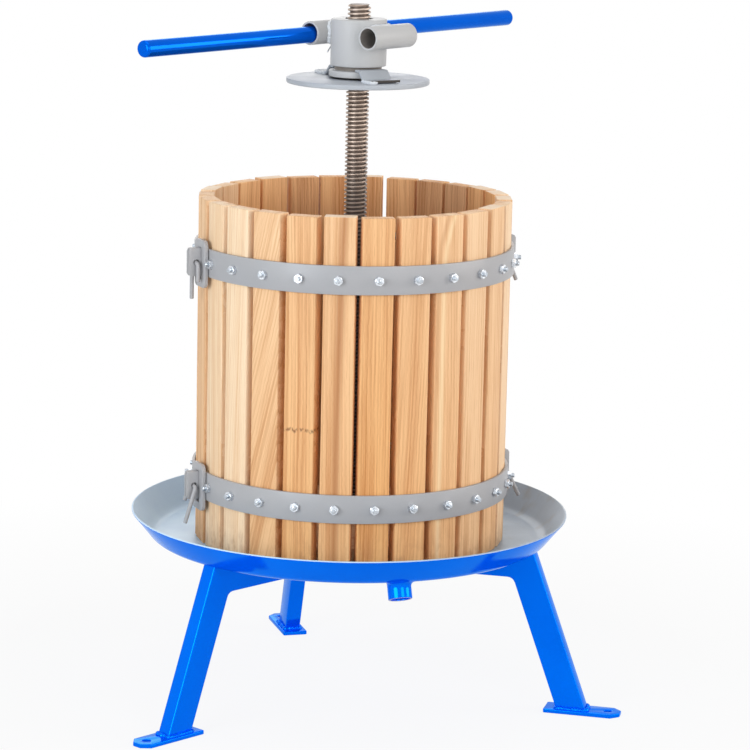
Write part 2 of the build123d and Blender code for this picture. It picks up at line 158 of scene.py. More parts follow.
# Spindle and what holds it
SPINDLE_R = 14.0
SPINDLE_ROOT_R = 11.25
SPINDLE_PITCH = 5.0
SPINDLE_ABOVE_HUB = 17.2
SPINDLE_TIP = 2.2
SPIGOT_R = 10.0
SPIGOT_CHAMFER = 1.5
SPIGOT_PLAY = 0.2
SPIGOT_STICKOUT = 4.0
SPIGOT_GAP = 0.1
ANCHOR_R = 30.0
ANCHOR_EDGE = 1.0
ANCHOR_NUT_FLATS = 30.0
ANCHOR_NUT_T = 16.0
WASHER_R = 20.0
WASHER_T = 3.0
WASHER_EDGE = 0.5

# Press head
PLATE_R = 87.0
PLATE_T = 6.0
PLATE_EDGE = 1.1
PLATE_ABOVE_BASKET = 143.1
PLATE_BORE_R = 17.0
HEAD_PLAY = 1.8
HUB_R = 34.0
HUB_H = 56.9
HUB_BORE_R = 14.3
HUB_MOUTH = 3.0
HUB_MOUTH_EDGE = 0.8
HUB_BORE_EDGE = 0.5
HUB_TOP_EDGE = 2.4
HUB_LOW_EDGE = 1.6
NECK_R = 28.5
NECK_H = 5.2
NECK_TOP_R = 0.6
NECK_FOOT_R = 1.2
FLANGE_R = 35.5
FLANGE_T = 8.3
FLANGE_EDGE = 1.0
FLANGE_TOP_EDGE = 1.6
RETAINER_ANGLE = 12.0
RETAINER_T = 3.0
RETAINER_W = 39.0
RETAINER_EDGE = 0.5
RETAINER_BEND_R = 3.2
RETAINER_FOOT_R = 72.0
RETAINER_PLAY = 0.2
RETAINER_NECK_PLAY = 1.0
RETAINER_LIP_PAST = 3.0
RETAINER_SLOPE = math.radians(45.0)
RETAINER_FOOT_LIFT = 1.3
RETAINER_WELD_R = 2.3
RETAINER_WELD_SIDE = 24.0
RETAINER_WELD_END = 9.0
RETAINER_WELD_OUT = 0.6
RETAINER_WELD_UP = 1.2
RETAINER_WELD_RIPPLE = 4.0
RETAINER_SHY = 0.05
SOCKET_BORE_R = 11.9
SOCKET_WALL = 2.5
SOCKET_LENGTH = 78.0
SOCKET_DROP = 19.1
SOCKET_WELD_BITE = 2.9
SOCKET_WELD_R = 3.0
SOCKET_WELD_HALF = 18.5
SOCKET_WELD_UP = 11.5
SOCKET_WELD_DOWN = 10.5
SOCKET_WELD_CORNER_R = 5.0
SOCKET_WELD_RIPPLE = 5.0
SOCKET_EDGE = 1.0
SOCKET_BORE_EDGE = 0.7
HANDLE_ANGLE = 35.3
BAR_R = 10.0
BAR_DROP = 1.8
BAR_LENGTH = 697.0
BAR_OFFSET = 14.5
BAR_END_R = 4.0
SPLIT_PIN_R = 1.6
SPLIT_PIN_ALONG = 6.0
SPLIT_PIN_TAIL = 14.0
SPLIT_PIN_SPREAD = math.radians(46.0)
SPLIT_PIN_EYE_R = 3.0
SPLIT_PIN_EYE_GAP = math.radians(40.0)
SPLIT_PIN_EYE_UP = 0.3
SPLIT_PIN_FORK_DROP = 0.5
SPLIT_PIN_END = 0.3

# Half-moon boards in the basket
BOARD_T = 22.0
BOARD_EDGE = 1.5
BOARD_SIDE_PLAY = 4.0
BOARD_SPLIT = 3.0
BOARD_NOTCH_PLAY = 4.0
BOARD_LIFT = 0.05

# Worked out from the sizes above
STAVE_PITCH = 180.0 / STAVES_PER_HALF
HALF_PITCH_TAN = math.tan(math.radians(STAVE_PITCH / 2))
STAVE_INNER_R = STAVE_FACE_R - STAVE_T
STAVE_HALF_W = STAVE_INNER_R * HALF_PITCH_TAN - STAVE_GAP / 2
STAVE_CORNER_R = math.hypot(STAVE_FACE_R, STAVE_HALF_W)
BAND_IN_R = STAVE_CORNER_R + BAND_PLAY
BAND_OUT_R = BAND_IN_R + BAND_T
FLOOR_Z = PAN_UNDERSIDE_Z + PAN_T
BASKET_TOP_Z = FLOOR_Z + STAVE_H
BAND_Z = {"lower": FLOOR_Z + LOWER_BAND_Z, "upper": BASKET_TOP_Z - UPPER_BAND_DROP}
LUG_FACE = SPLIT_GAP / 2 + BAND_T
CLIP_FACE_R = BAND_OUT_R + CLIP_PLAY + CLIP_T
PIN_AXIS_R = CLIP_FACE_R + PIN_TO_CLIP + PIN_R
LUG_END_R = PIN_AXIS_R + LUG_TIP
PAN_FLAT_R = STAVE_CORNER_R + PAN_TROUGH_W
PAN_RIM_R = PAN_FLAT_R + PAN_WALL_RUN
WALL_ANGLE = math.atan2(PAN_WALL_RISE, PAN_WALL_RUN)
SPOUT_R = SPOUT_BORE_R + SPOUT_WALL
ARM_TOP_Z = PAN_UNDERSIDE_Z
ARM_LOW_Z = ARM_TOP_Z - TUBE_DEPTH
LEG_FOOT_R = FOOT_BOLT_R - FOOT_HOLE_TO_LEG
LEG_HALF = TUBE_DEPTH / 2 / math.cos(LEG_TILT)
MITRE_TOP_R = LEG_FOOT_R + LEG_HALF - (ARM_TOP_Z - FOOT_T) * math.tan(LEG_TILT)
MITRE_LOW_R = MITRE_TOP_R - TUBE_DEPTH * (1 - math.sin(LEG_TILT)) / math.cos(LEG_TILT)
FOOT_OUTER_R = FOOT_BOLT_R + FOOT_HOLE_TO_END
FOOT_INNER_R = LEG_FOOT_R - LEG_HALF - FOOT_INNER_MARGIN
FOOT_HALF_W = TUBE_WIDTH / 2 + FOOT_SIDE_MARGIN
PLATE_TOP_Z = BASKET_TOP_Z + PLATE_ABOVE_BASKET
FLANGE_LOW_Z = PLATE_TOP_Z + HEAD_PLAY
FLANGE_TOP_Z = FLANGE_LOW_Z + FLANGE_T
HUB_LOW_Z = FLANGE_TOP_Z + NECK_H
HUB_TOP_Z = HUB_LOW_Z + HUB_H
SPINDLE_TOP_Z = HUB_TOP_Z + SPINDLE_ABOVE_HUB
SPIGOT_HOLE_R = SPIGOT_R + SPIGOT_PLAY
SOCKET_R = SOCKET_BORE_R + SOCKET_WALL
SOCKET_Z = HUB_TOP_Z - SOCKET_DROP
SOCKET_REACH = HUB_R + SOCKET_R - SOCKET_WELD_BITE
ANCHOR_LOW_Z = ARM_LOW_Z - WASHER_T - ANCHOR_NUT_T

# How finely round things are divided
PAN_SIDES = 192
PLATE_SIDES = 160
HUB_SIDES = 96
PIPE_SIDES = 48
BOLT_HEAD_SIDES = 28
LUG_HOLE_SIDES = 24
FOOT_HOLE_SIDES = 32
PLATE_BORE_SIDES = 64
ROD_SIDES = 20
THREAD_SIDES = 36
BOLT_SIDES = 18
BAND_STEP = 1.5
UP = Vector((0, 0, 1))


# Places
def turned(degrees, axis):
    return Matrix.Rotation(math.radians(degrees), 4, axis)


def moved(x, y, z):
    return Matrix.Translation((x, y, z))


def around(angle):
    "Turns a piece drawn on -Y to its angle around the press"
    return turned(angle, "Z")


def in_basket(angle):
    return around(BASKET_TURN + angle)


def outward(distance, z):
    "Stands a piece's own +Z along -Y, from a distance and a height"
    return moved(0, -distance, z) @ turned(90, "X")


def on_handle(side, along=0.0):
    "Lays a piece's own +Z along the handle, on the socket with the bar (1) or the empty one (-1)"
    return around(HANDLE_ANGLE) @ moved(along, side * SOCKET_REACH, SOCKET_Z) @ turned(90, "Y")


# Outlines
def arc(radius, first, last, steps, centre=(0.0, 0.0)):
    "Points round a circle from one angle to another"
    angles = [first + (last - first) * k / steps for k in range(steps + 1)]
    return [Vector(centre) + Vector((math.cos(a), math.sin(a))) * radius for a in angles]


def circle(radius, sides, centre=(0.0, 0.0), clockwise=False):
    return arc(radius, 0.0, -2 * math.pi if clockwise else 2 * math.pi, sides, centre)[:-1]


def corner_arc(before, here, after, radius, steps):
    "The arc of a radius that takes off a corner"
    a = (before - here).normalized()
    b = (after - here).normalized()
    half = a.angle(b) / 2
    centre = here + (a + b).normalized() * (radius / math.sin(half))
    start = here + a * (radius / math.tan(half)) - centre
    end = here + b * (radius / math.tan(half)) - centre
    return [centre + start.slerp(end, k / steps) * radius for k in range(steps + 1)]


def round_corners(corners, steps=5):
    "Closed outline through (x, y, radius) corners, with an arc at each"
    spots = [Vector(corner[:2]) for corner in corners]
    outline = []
    for i, here in enumerate(spots):
        radius = corners[i][2]
        after = spots[(i + 1) % len(spots)]
        outline += corner_arc(spots[i - 1], here, after, radius, steps) if radius > 0 else [here]
    return outline


def rounded(x, y, to_x, to_y, radii, steps=5):
    "A rectangle between two corners, with a radius for each corner from the first round anticlockwise"
    spots = ((x, y), (to_x, y), (to_x, to_y), (x, to_y))
    return round_corners([(*spot, radius) for spot, radius in zip(spots, radii)], steps)


def box_outline(x, y, radius, steps=5):
    "A rectangle of half sizes x and y with round corners"
    return rounded(-x, -y, x, y, [radius] * 4, steps)


def inset(outline, depth):
    "The outline moved to its left by a depth, which is into the plate for holes too"
    made = []
    for i, p in enumerate(outline):
        a = (p - outline[i - 1]).normalized()
        b = (outline[(i + 1) % len(outline)] - p).normalized()
        left = Vector((-a.y, a.x))
        middle = (left + Vector((-b.y, b.x))).normalized()
        made.append(p + middle * (depth / max(0.3, middle.dot(left))))
    return made


def resample(path, step, closed=False):
    "The path divided into even steps"
    points = list(path) + (list(path[:1]) if closed else [])
    made = []
    for a, b in zip(points, points[1:]):
        count = max(1, round((b - a).length / step))
        made += [a.lerp(b, k / count) for k in range(count)]
    return made if closed else made + [points[-1]]


def arc_path(corners, radius, steps=8):
    "Open 3-D path through corners, with an arc of one radius at each inner corner"
    path = [corners[0].copy()]
    for before, here, after in zip(corners, corners[1:], corners[2:]):
        path += corner_arc(before, here, after, radius, steps)
    return path + [corners[-1].copy()]


# Shapes
def quads_between(bm, a, b, material=0):
    "Faces between two rings of as many points, or between a ring and a pole"
    for k in range(max(len(a), len(b))):
        corners = (a[k % len(a)], a[(k + 1) % len(a)], b[(k + 1) % len(b)], b[k % len(b)])
        bm.faces.new(list(dict.fromkeys(corners))).material_index = material


def add_ring(bm, outline, z, place):
    return [bm.verts.new(place @ Vector((*p, z))) for p in outline]


def lathe(bm, profile, sides, place=Matrix(), closed=True, materials=None):
    "Turns a profile of (radius, height) points about +Z"
    rings = []
    for radius, z in profile:
        outline = circle(radius, sides) if radius > 1e-6 else [(0, 0)]
        rings.append(add_ring(bm, outline, z, place))
    last = rings[:1] if closed else []
    for i, (a, b) in enumerate(zip(rings, rings[1:] + last)):
        quads_between(bm, a, b, materials[i] if materials else 0)


def cylinder(bm, radius, low, high, sides, place):
    lathe(bm, [(0, low), (radius, low), (radius, high), (0, high)], sides, place, closed=False)


def bored_disc(bm, inner, outer, low, high, edge):
    "A round piece with a bore and rounded edges"
    lathe(bm, rounded(inner, low, outer, high, [edge] * 4, steps=3), HUB_SIDES)


def slab(bm, outlines, low, high, edge, place=Matrix(), steps=3, cuts=1):
    "A plate with rounded edges: the first outline runs anticlockwise, the holes clockwise"
    levels = []
    for k in range(steps + 1):
        a = math.pi / 2 * k / steps
        levels.append((edge * (1 - math.sin(a)), low + edge * (1 - math.cos(a))))
    walls = [(0.0, low + edge + (high - low - 2 * edge) * k / cuts) for k in range(1, cuts)]
    levels += walls + [(depth, low + high - z) for depth, z in reversed(levels)]
    ends = ([], [])
    for outline in outlines:
        rings = []
        for depth, z in levels:
            rings.append(add_ring(bm, inset(outline, depth) if depth > 0 else outline, z, place))
        for a, b in zip(rings, rings[1:]):
            quads_between(bm, a, b)
        ends[0].append(rings[0])
        ends[1].append(rings[-1])
    for loops in ends:
        verts = [v for loop in loops for v in loop]
        for corners in tessellate_polygon([[v.co for v in loop] for loop in loops]):
            bm.faces.new([verts[i] for i in corners])


def prism_between(bm, starts, ends):
    a = [bm.verts.new(p) for p in starts]
    b = [bm.verts.new(p) for p in ends]
    quads_between(bm, a, b)
    bm.faces.new(a)
    bm.faces.new(b)


def sweep(bm, path, section, up, closed=False):
    "Carries section(i), a list of (side, top) points, along a path"
    rings = []
    for i, p in enumerate(path):
        before = path[i - 1] if i or closed else p
        after = path[(i + 1) % len(path)] if i < len(path) - 1 or closed else p
        side = (after - before).cross(up).normalized()
        top = side.cross(after - before).normalized()
        rings.append([bm.verts.new(p + side * x + top * y) for x, y in section(i)])
    last = rings[:1] if closed else []
    for a, b in zip(rings, rings[1:] + last):
        quads_between(bm, a, b)
    if not closed:
        bm.faces.new(rings[0])
        bm.faces.new(rings[-1])


def rod(bm, path, radius, up, end, sides=ROD_SIDES, steps=3):
    "A round rod along a path, with its ends rounded"
    first = (path[1] - path[0]).normalized()
    last = (path[-1] - path[-2]).normalized()
    points = list(path)
    sizes = [radius] * len(path)
    for k in range(1, steps + 1):
        a = math.pi / 2 * k / steps
        points = [path[0] - first * end * math.sin(a)] + points + [path[-1] + last * end * math.sin(a)]
        size = radius - end * (1 - math.cos(a))
        sizes = [size] + sizes + [size]
    sweep(bm, points, lambda i: circle(sizes[i], sides), up)


# A weld bead's waves, wander and end, as shares of its radius, and the runs of its lumps and its wander
BEAD_WAVE = 0.10
BEAD_WANDER = 0.22
BEAD_END = 0.35
BEAD_LUMP_RUN = 7.0
BEAD_WANDER_RUN = 5.0
BEAD_WANDER_SEED = 9.0


def bead(bm, path, radius, up, seed, ripple, closed=False, lumpy=0.3, sides=10):
    "A weld bead: a lumpy ridge with the ripples that each drop left"
    step = ripple / 5
    points = resample(path, step, closed)
    count = len(points)
    lumps = []
    line = []
    for i, p in enumerate(points):
        wave = BEAD_WAVE * math.cos(2 * math.pi * i * step / ripple)
        uneven = lumpy * noise.noise(Vector((i * step / BEAD_LUMP_RUN, seed, 0.0)))
        taper = 1.0 if closed else min(1.0, BEAD_END + min(i, count - 1 - i) * step / radius / 2)
        lumps.append(radius * (1 + wave + uneven) * taper)
        wander = noise.noise_vector(Vector((i * step / BEAD_WANDER_RUN, seed + BEAD_WANDER_SEED, 0.0)))
        line.append(p + wander * radius * BEAD_WANDER)
    sweep(bm, line, lambda i: circle(lumps[i], sides), up, closed)


def thread(bm, crest, root, pitch, low, high, sides, tip, place=Matrix()):
    "A right-hand trapezoidal thread between two heights, cut flat at both ends"
    blunt = pitch * 0.05
    rise = pitch * 0.12
    flat = pitch * 0.34
    profile = [
        (0.0, root),
        (flat, root),
        (flat + rise, crest - blunt),
        (flat + rise + blunt, crest),
        (pitch - rise - blunt, crest),
        (pitch - rise, crest - blunt),
    ]
    turns = math.ceil((high - low) / pitch) + 2
    grid = []
    for i in range(turns * sides + 1):
        angle = 2 * math.pi * i / sides
        row = []
        for up, radius in profile:
            z = low - pitch + pitch * i / sides + up
            radius = min(radius, max(crest - tip, crest - max(0.0, z - high + tip)))
            row.append(bm.verts.new((radius * math.cos(angle), radius * math.sin(angle), z)))
        grid.append(row)
    for i in range(turns * sides):
        for j in range(len(profile)):
            if j + 1 < len(profile):
                upper = (grid[i + 1][j + 1], grid[i][j + 1])
            elif i + sides + 1 < len(grid):
                upper = (grid[i + sides + 1][0], grid[i + sides][0])
            else:
                continue
            bm.faces.new((grid[i][j], grid[i + 1][j], *upper))
    made = [v for row in grid for v in row]
    for z, up in ((low, -1), (high, 1)):
        edges = dict.fromkeys(e for v in made for e in v.link_edges)
        faces = dict.fromkeys(f for v in made for f in v.link_faces)
        cut = bmesh.ops.bisect_plane(
            bm, geom=[*made, *edges, *faces], plane_co=(0, 0, z), plane_no=(0, 0, up), clear_outer=True
        )["geom_cut"]
        pole = bm.verts.new((0, 0, z))
        for edge in cut:
            if isinstance(edge, bmesh.types.BMEdge):
                bm.faces.new((*edge.verts, pole))
        made += [v for v in cut if isinstance(v, bmesh.types.BMVert)] + [pole]
        made = [v for v in made if v.is_valid]
    bmesh.ops.transform(bm, matrix=place, verts=made)


def hex_nut(bm, flats, bore, height, place, sides):
    "A hexagon nut with its corners chamfered on both faces"
    land = flats / 2 * 0.96
    slope = math.tan(math.radians(30))
    rings = [[] for _ in range(6)]
    for k in range(sides):
        a = 2 * math.pi * k / sides
        reach = flats / 2 / math.cos((a + math.pi / 6) % (math.pi / 3) - math.pi / 6)
        lower = [(bore, 0.0), (land, 0.0), (reach, (reach - land) * slope)]
        upper = [(radius, height - z) for radius, z in reversed(lower)]
        for ring, (radius, z) in zip(rings, lower + upper):
            ring.append(bm.verts.new(place @ Vector((radius * math.cos(a), radius * math.sin(a), z))))
    for a, b in zip(rings, rings[1:] + rings[:1]):
        quads_between(bm, a, b)


def to_mesh(name, bm):
    mesh = bpy.data.meshes.new(name)
    bm.to_mesh(mesh)
    bm.free()
    return mesh


def new_object(name, data):
    made = bpy.data.objects.new(name, data)
    bpy.context.scene.collection.objects.link(made)
    return made


def drill(bm, radius, half, sides, places):
    "The shape less a round hole along the Z of each place"
    cutter = bmesh.new()
    for place in places:
        cylinder(cutter, radius, -half, half, sides, place)
    objects = []
    for shape in (bm, cutter):
        bmesh.ops.recalc_face_normals(shape, faces=shape.faces)
        objects.append(new_object("cut", to_mesh("cut", shape)))
    modifier = objects[0].modifiers.new("cut", "BOOLEAN")
    modifier.object = objects[1]
    modifier.operation = "DIFFERENCE"
    modifier.solver = "EXACT"
    depsgraph = bpy.context.evaluated_depsgraph_get()
    drilled = bmesh.new()
    drilled.from_mesh(bpy.data.meshes.new_from_object(objects[0].evaluated_get(depsgraph)))
    for o in objects:
        bpy.data.objects.remove(o)
    return drilled


def place_shape(bm, place):
    bmesh.ops.transform(bm, matrix=place, verts=bm.verts)


# Adding pieces
def add_piece(name, bm, body, materials, nodes=(), sharp=32.0):
    "Makes an object of a shape, to ride on a body and stand for nodes"
    bmesh.ops.recalc_face_normals(bm, faces=bm.faces)
    bmesh.ops.scale(bm, vec=(MM, MM, MM), verts=bm.verts)
    mesh = to_mesh(name, bm)
    mesh.polygons.foreach_set("use_smooth", [True] * len(mesh.polygons))
    mesh.set_sharp_from_angle(angle=math.radians(sharp))
    for material in materials:
        mesh.materials.append(material)
    piece = new_object(name, mesh)
    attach(piece, body)
    if nodes:
        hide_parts(*nodes)
    return piece


# A streak along a plank: its place across, how it bends above a height, half its width, how dark or pale
Streak = namedtuple("Streak", "at bend above half dark")
NOWHERE = -99.0
TONE_FADE = 0.65
FOOT_WEAR = 0.05
# Painted shade: the inner tone comes in between these depths into a plank
INNER_SHADE_FROM = 0.003
INNER_SHADE_OVER = 0.012
SAWN_DEPTH = 0.0004


def add_grain(piece, to_board, seed, tilt, tone, inner_tone, knot=NOWHERE, streak=None, length=0.0):
    "Gives each point its place in the plank's own log, and the plank its tones, marks and pale sawn ends"
    draw = random.Random(seed)
    shift = Vector((draw.uniform(-9.0, 9.0), draw.uniform(-9.0, 9.0), draw.uniform(0.0, 9.0)))
    lean = turned(tilt, "Y")
    grain = []
    marks = []
    for v in piece.data.vertices:
        p = to_board @ v.co
        grain.extend(lean @ p + shift)
        # Painted shade: the tone moves to the inner tone towards the plank's inner face
        inner_shade = min(1.0, max(0.0, (p.y - INNER_SHADE_FROM) / INNER_SHADE_OVER))
        mark = {
            "tone": tone + (inner_tone - tone) * inner_shade - TONE_FADE * p.z,
            "knot": knot + shift.z,
            "streak": NOWHERE,
            "streak_dark": streak.dark if streak else 0.0,
            "sawn": float(length > 0 and abs(p.z - length / 2) > length / 2 - SAWN_DEPTH),
            "foot": max(0.0, 1.0 - p.z / FOOT_WEAR) if length > 0 else 0.0,
        }
        if streak:
            middle = streak.at + streak.bend * max(0.0, p.z - streak.above) ** 2
            mark["streak"] = (p.x - middle) / streak.half
        marks.append(mark)
    attributes = piece.data.attributes
    attributes.new("grain", "FLOAT_VECTOR", "POINT").data.foreach_set("vector", grain)
    for label in marks[0]:
        values = [mark[label] for mark in marks]
        attributes.new(label, "FLOAT", "POINT").data.foreach_set("value", values)


# Materials
class Nodes:
    "Short ways to add nodes to a tree"

    def __init__(self, tree):
        self.tree = tree

    def plug(self, socket, value):
        if isinstance(value, bpy.types.NodeSocket):
            self.tree.links.new(value, socket)
        else:
            socket.default_value = value

    def add(self, kind, inputs, **settings):
        node = self.tree.nodes.new("ShaderNode" + kind)
        for key, value in settings.items():
            setattr(node, key, value)
        for key, value in inputs.items():
            self.plug(node.inputs[key], value)
        return node

    def place(self):
        return self.add("TexCoord", {}).outputs["Object"]

    def axis(self, vector, name):
        return self.add("SeparateXYZ", {"Vector": vector}).outputs[name]

    def length(self, vector):
        return self.add("VectorMath", {0: vector}, operation="LENGTH").outputs["Value"]

    def stretch(self, vector, x, y, z):
        return self.add("VectorMath", {0: vector, 1: (x, y, z)}, operation="MULTIPLY").outputs[0]

    def noise(self, vector, scale, detail=2.0, rough=0.5):
        inputs = {"Vector": vector, "Scale": scale, "Detail": detail, "Roughness": rough}
        return self.add("TexNoise", inputs).outputs["Fac"]

    def streaks(self, vector, across, along, detail=2.0, rough=0.5):
        "Noise drawn out along Z, or across it"
        return self.noise(self.stretch(vector, across, across, along), 1.0, detail, rough)

    def math(self, operation, a, b=0.0):
        return self.add("Math", {0: a, 1: b}, operation=operation).outputs[0]

    def plus(self, a, b):
        return self.math("ADD", a, b)

    def times(self, a, b):
        return self.math("MULTIPLY", a, b)

    def spread(self, value, low, high, to_low=0.0, to_high=1.0):
        inputs = {"Value": value, "From Min": low, "From Max": high, "To Min": to_low, "To Max": to_high}
        return self.add("MapRange", inputs).outputs["Result"]

    def mix(self, factor, a, b):
        node = self.add("Mix", {"Factor": factor}, data_type="RGBA")
        self.plug(node.inputs[6], a)
        self.plug(node.inputs[7], b)
        return node.outputs[2]

    def seen_directly(self):
        "1 for rays that show the floor or the backdrop itself: from the camera, a mirror or glass"
        path = self.add("LightPath", {})
        total = path.outputs["Is Camera Ray"]
        for label in ("Is Glossy Ray", "Is Transmission Ray"):
            total = self.math("MAXIMUM", total, path.outputs[label])
        return total

    def show_mixed(self, output, share, lit, white):
        "Ends the tree with two shaders mixed by a share"
        mix = self.add("MixShader", {0: share, 1: lit.outputs[0], 2: white.outputs[0]})
        self.plug(self.tree.nodes[output].inputs[0], mix.outputs[0])


class Shader(Nodes):
    "A principled material"

    def __init__(self, name, **values):
        self.material = bpy.data.materials.new(name)
        self.material.use_nodes = True
        super().__init__(self.material.node_tree)
        self.bsdf = self.tree.nodes["Principled BSDF"]
        for key, value in values.items():
            self.plug(self.bsdf.inputs[key.replace("_", " ")], value)

    def colour(self, value):
        self.plug(self.bsdf.inputs["Base Color"], value)

    def rough(self, value):
        self.plug(self.bsdf.inputs["Roughness"], value)

    def bump(self, height, distance):
        node = self.add("Bump", {"Height": height, "Distance": distance, "Strength": 1.0})
        self.plug(self.bsdf.inputs["Normal"], node.outputs[0])


def rgb(red, green, blue):
    "A colour given as screen values from 0 to 255"
    linear = []
    for value in (red, green, blue):
        share = value / 255
        linear.append(share / 12.92 if share <= 0.04045 else ((share + 0.055) / 1.055) ** 2.4)
    return (*linear, 1.0)


WHITE = (1.0, 1.0, 1.0, 1.0)


def paint(name, pale, deep, rough, specular, metallic=0.0, tint=WHITE):
    "Sprayed enamel: slight drifts of tone, fine orange peel and uneven gloss"
    s = Shader(name, Specular_IOR_Level=specular, Metallic=metallic, Specular_Tint=tint)
    where = s.place()
    drift = s.noise(where, 9.0, 3.0)
    specks = s.noise(where, 900.0, 2.0)
    tone = s.plus(s.spread(drift, 0.3, 0.7, 0.0, 0.8), s.spread(specks, 0.4, 0.6, 0.0, 0.2))
    s.colour(s.mix(tone, rgb(*deep), rgb(*pale)))
    s.rough(s.spread(s.noise(where, 40.0, 4.0), 0.3, 0.7, rough - 0.05, rough + 0.06))
    s.bump(s.noise(where, 420.0, 2.0), 0.00003)
    return s.material


def pan_inside():
    """Silver-grey enamel with faint clouds, water marks and brown smears, and painted light: paler and bluer
    on the left, darker on the right
    """
    s = Shader("pan_inside", Specular_IOR_Level=0.3)
    where = s.place()
    # Painted light: the left half is paler and bluer and the right half darker, as the lamps fall on the pan;
    # the brown smears keep to the right
    side = s.spread(s.axis(where, "X"), -0.2, 0.2)
    marks = s.noise(where, 11.0, 4.0, 0.55)
    dust = s.noise(where, 800.0, 2.0)
    blend = s.plus(s.spread(marks, 0.35, 0.68, 0.0, 0.8), s.spread(dust, 0.4, 0.6, 0.0, 0.2))
    clean = s.mix(side, rgb(206, 234, 255), rgb(170, 186, 203))
    dull = s.mix(side, rgb(190, 217, 247), rgb(154, 168, 184))
    smears = s.spread(s.noise(s.stretch(where, 1.0, 1.0, 0.4), 26.0, 3.0, 0.6), 0.54, 0.70, 0.0, 0.45)
    s.colour(s.mix(s.times(smears, side), s.mix(blend, clean, dull), rgb(148, 140, 130)))
    s.rough(s.spread(marks, 0.3, 0.7, 0.3, 0.42))
    s.bump(s.noise(where, 350.0, 3.0), 0.00004)
    return s.material


def zinc(name, low, high):
    "Zinc plate with a soft mottled grain"
    s = Shader(name, Metallic=1.0)
    where = s.place()
    grain = s.noise(where, 600.0, 4.0, 0.6)
    s.colour(s.mix(s.spread(grain, 0.35, 0.65), rgb(*low), rgb(*high)))
    s.rough(s.spread(s.noise(where, 250.0, 3.0), 0.3, 0.7, 0.2, 0.38))
    s.bump(grain, 0.00002)
    return s.material


def spindle_steel():
    """Oiled bare steel: paler towards the thread's crests, brown flanks and darker towards its roots, with
    painted shade that makes it darker down in the basket
    """
    s = Shader("spindle_steel", Metallic=0.8)
    where = s.place()
    radius = s.length(s.stretch(where, 1.0, 1.0, 0.0))
    smear = s.streaks(where, 90.0, 260.0, 4.0, 0.6)
    depth = s.spread(radius, SPINDLE_ROOT_R * MM, SPINDLE_R * MM)
    depth = s.plus(depth, s.spread(smear, 0.3, 0.7, -0.18, 0.18))
    dark = s.mix(s.spread(depth, 0.0, 0.55), rgb(92, 79, 71), rgb(160, 142, 129))
    colour = s.mix(s.spread(depth, 0.6, 1.0), dark, rgb(190, 173, 160))
    # Painted shade: darker below the basket's top, where the staves shade the spindle
    low = s.spread(s.axis(where, "Z"), 0.56, 0.70, 0.85, 0.0)
    s.colour(s.mix(low, colour, rgb(62, 60, 60)))
    s.rough(s.spread(smear, 0.3, 0.7, 0.38, 0.56))
    s.bump(s.streaks(where, 300.0, 1400.0, 3.0), 0.00005)
    return s.material


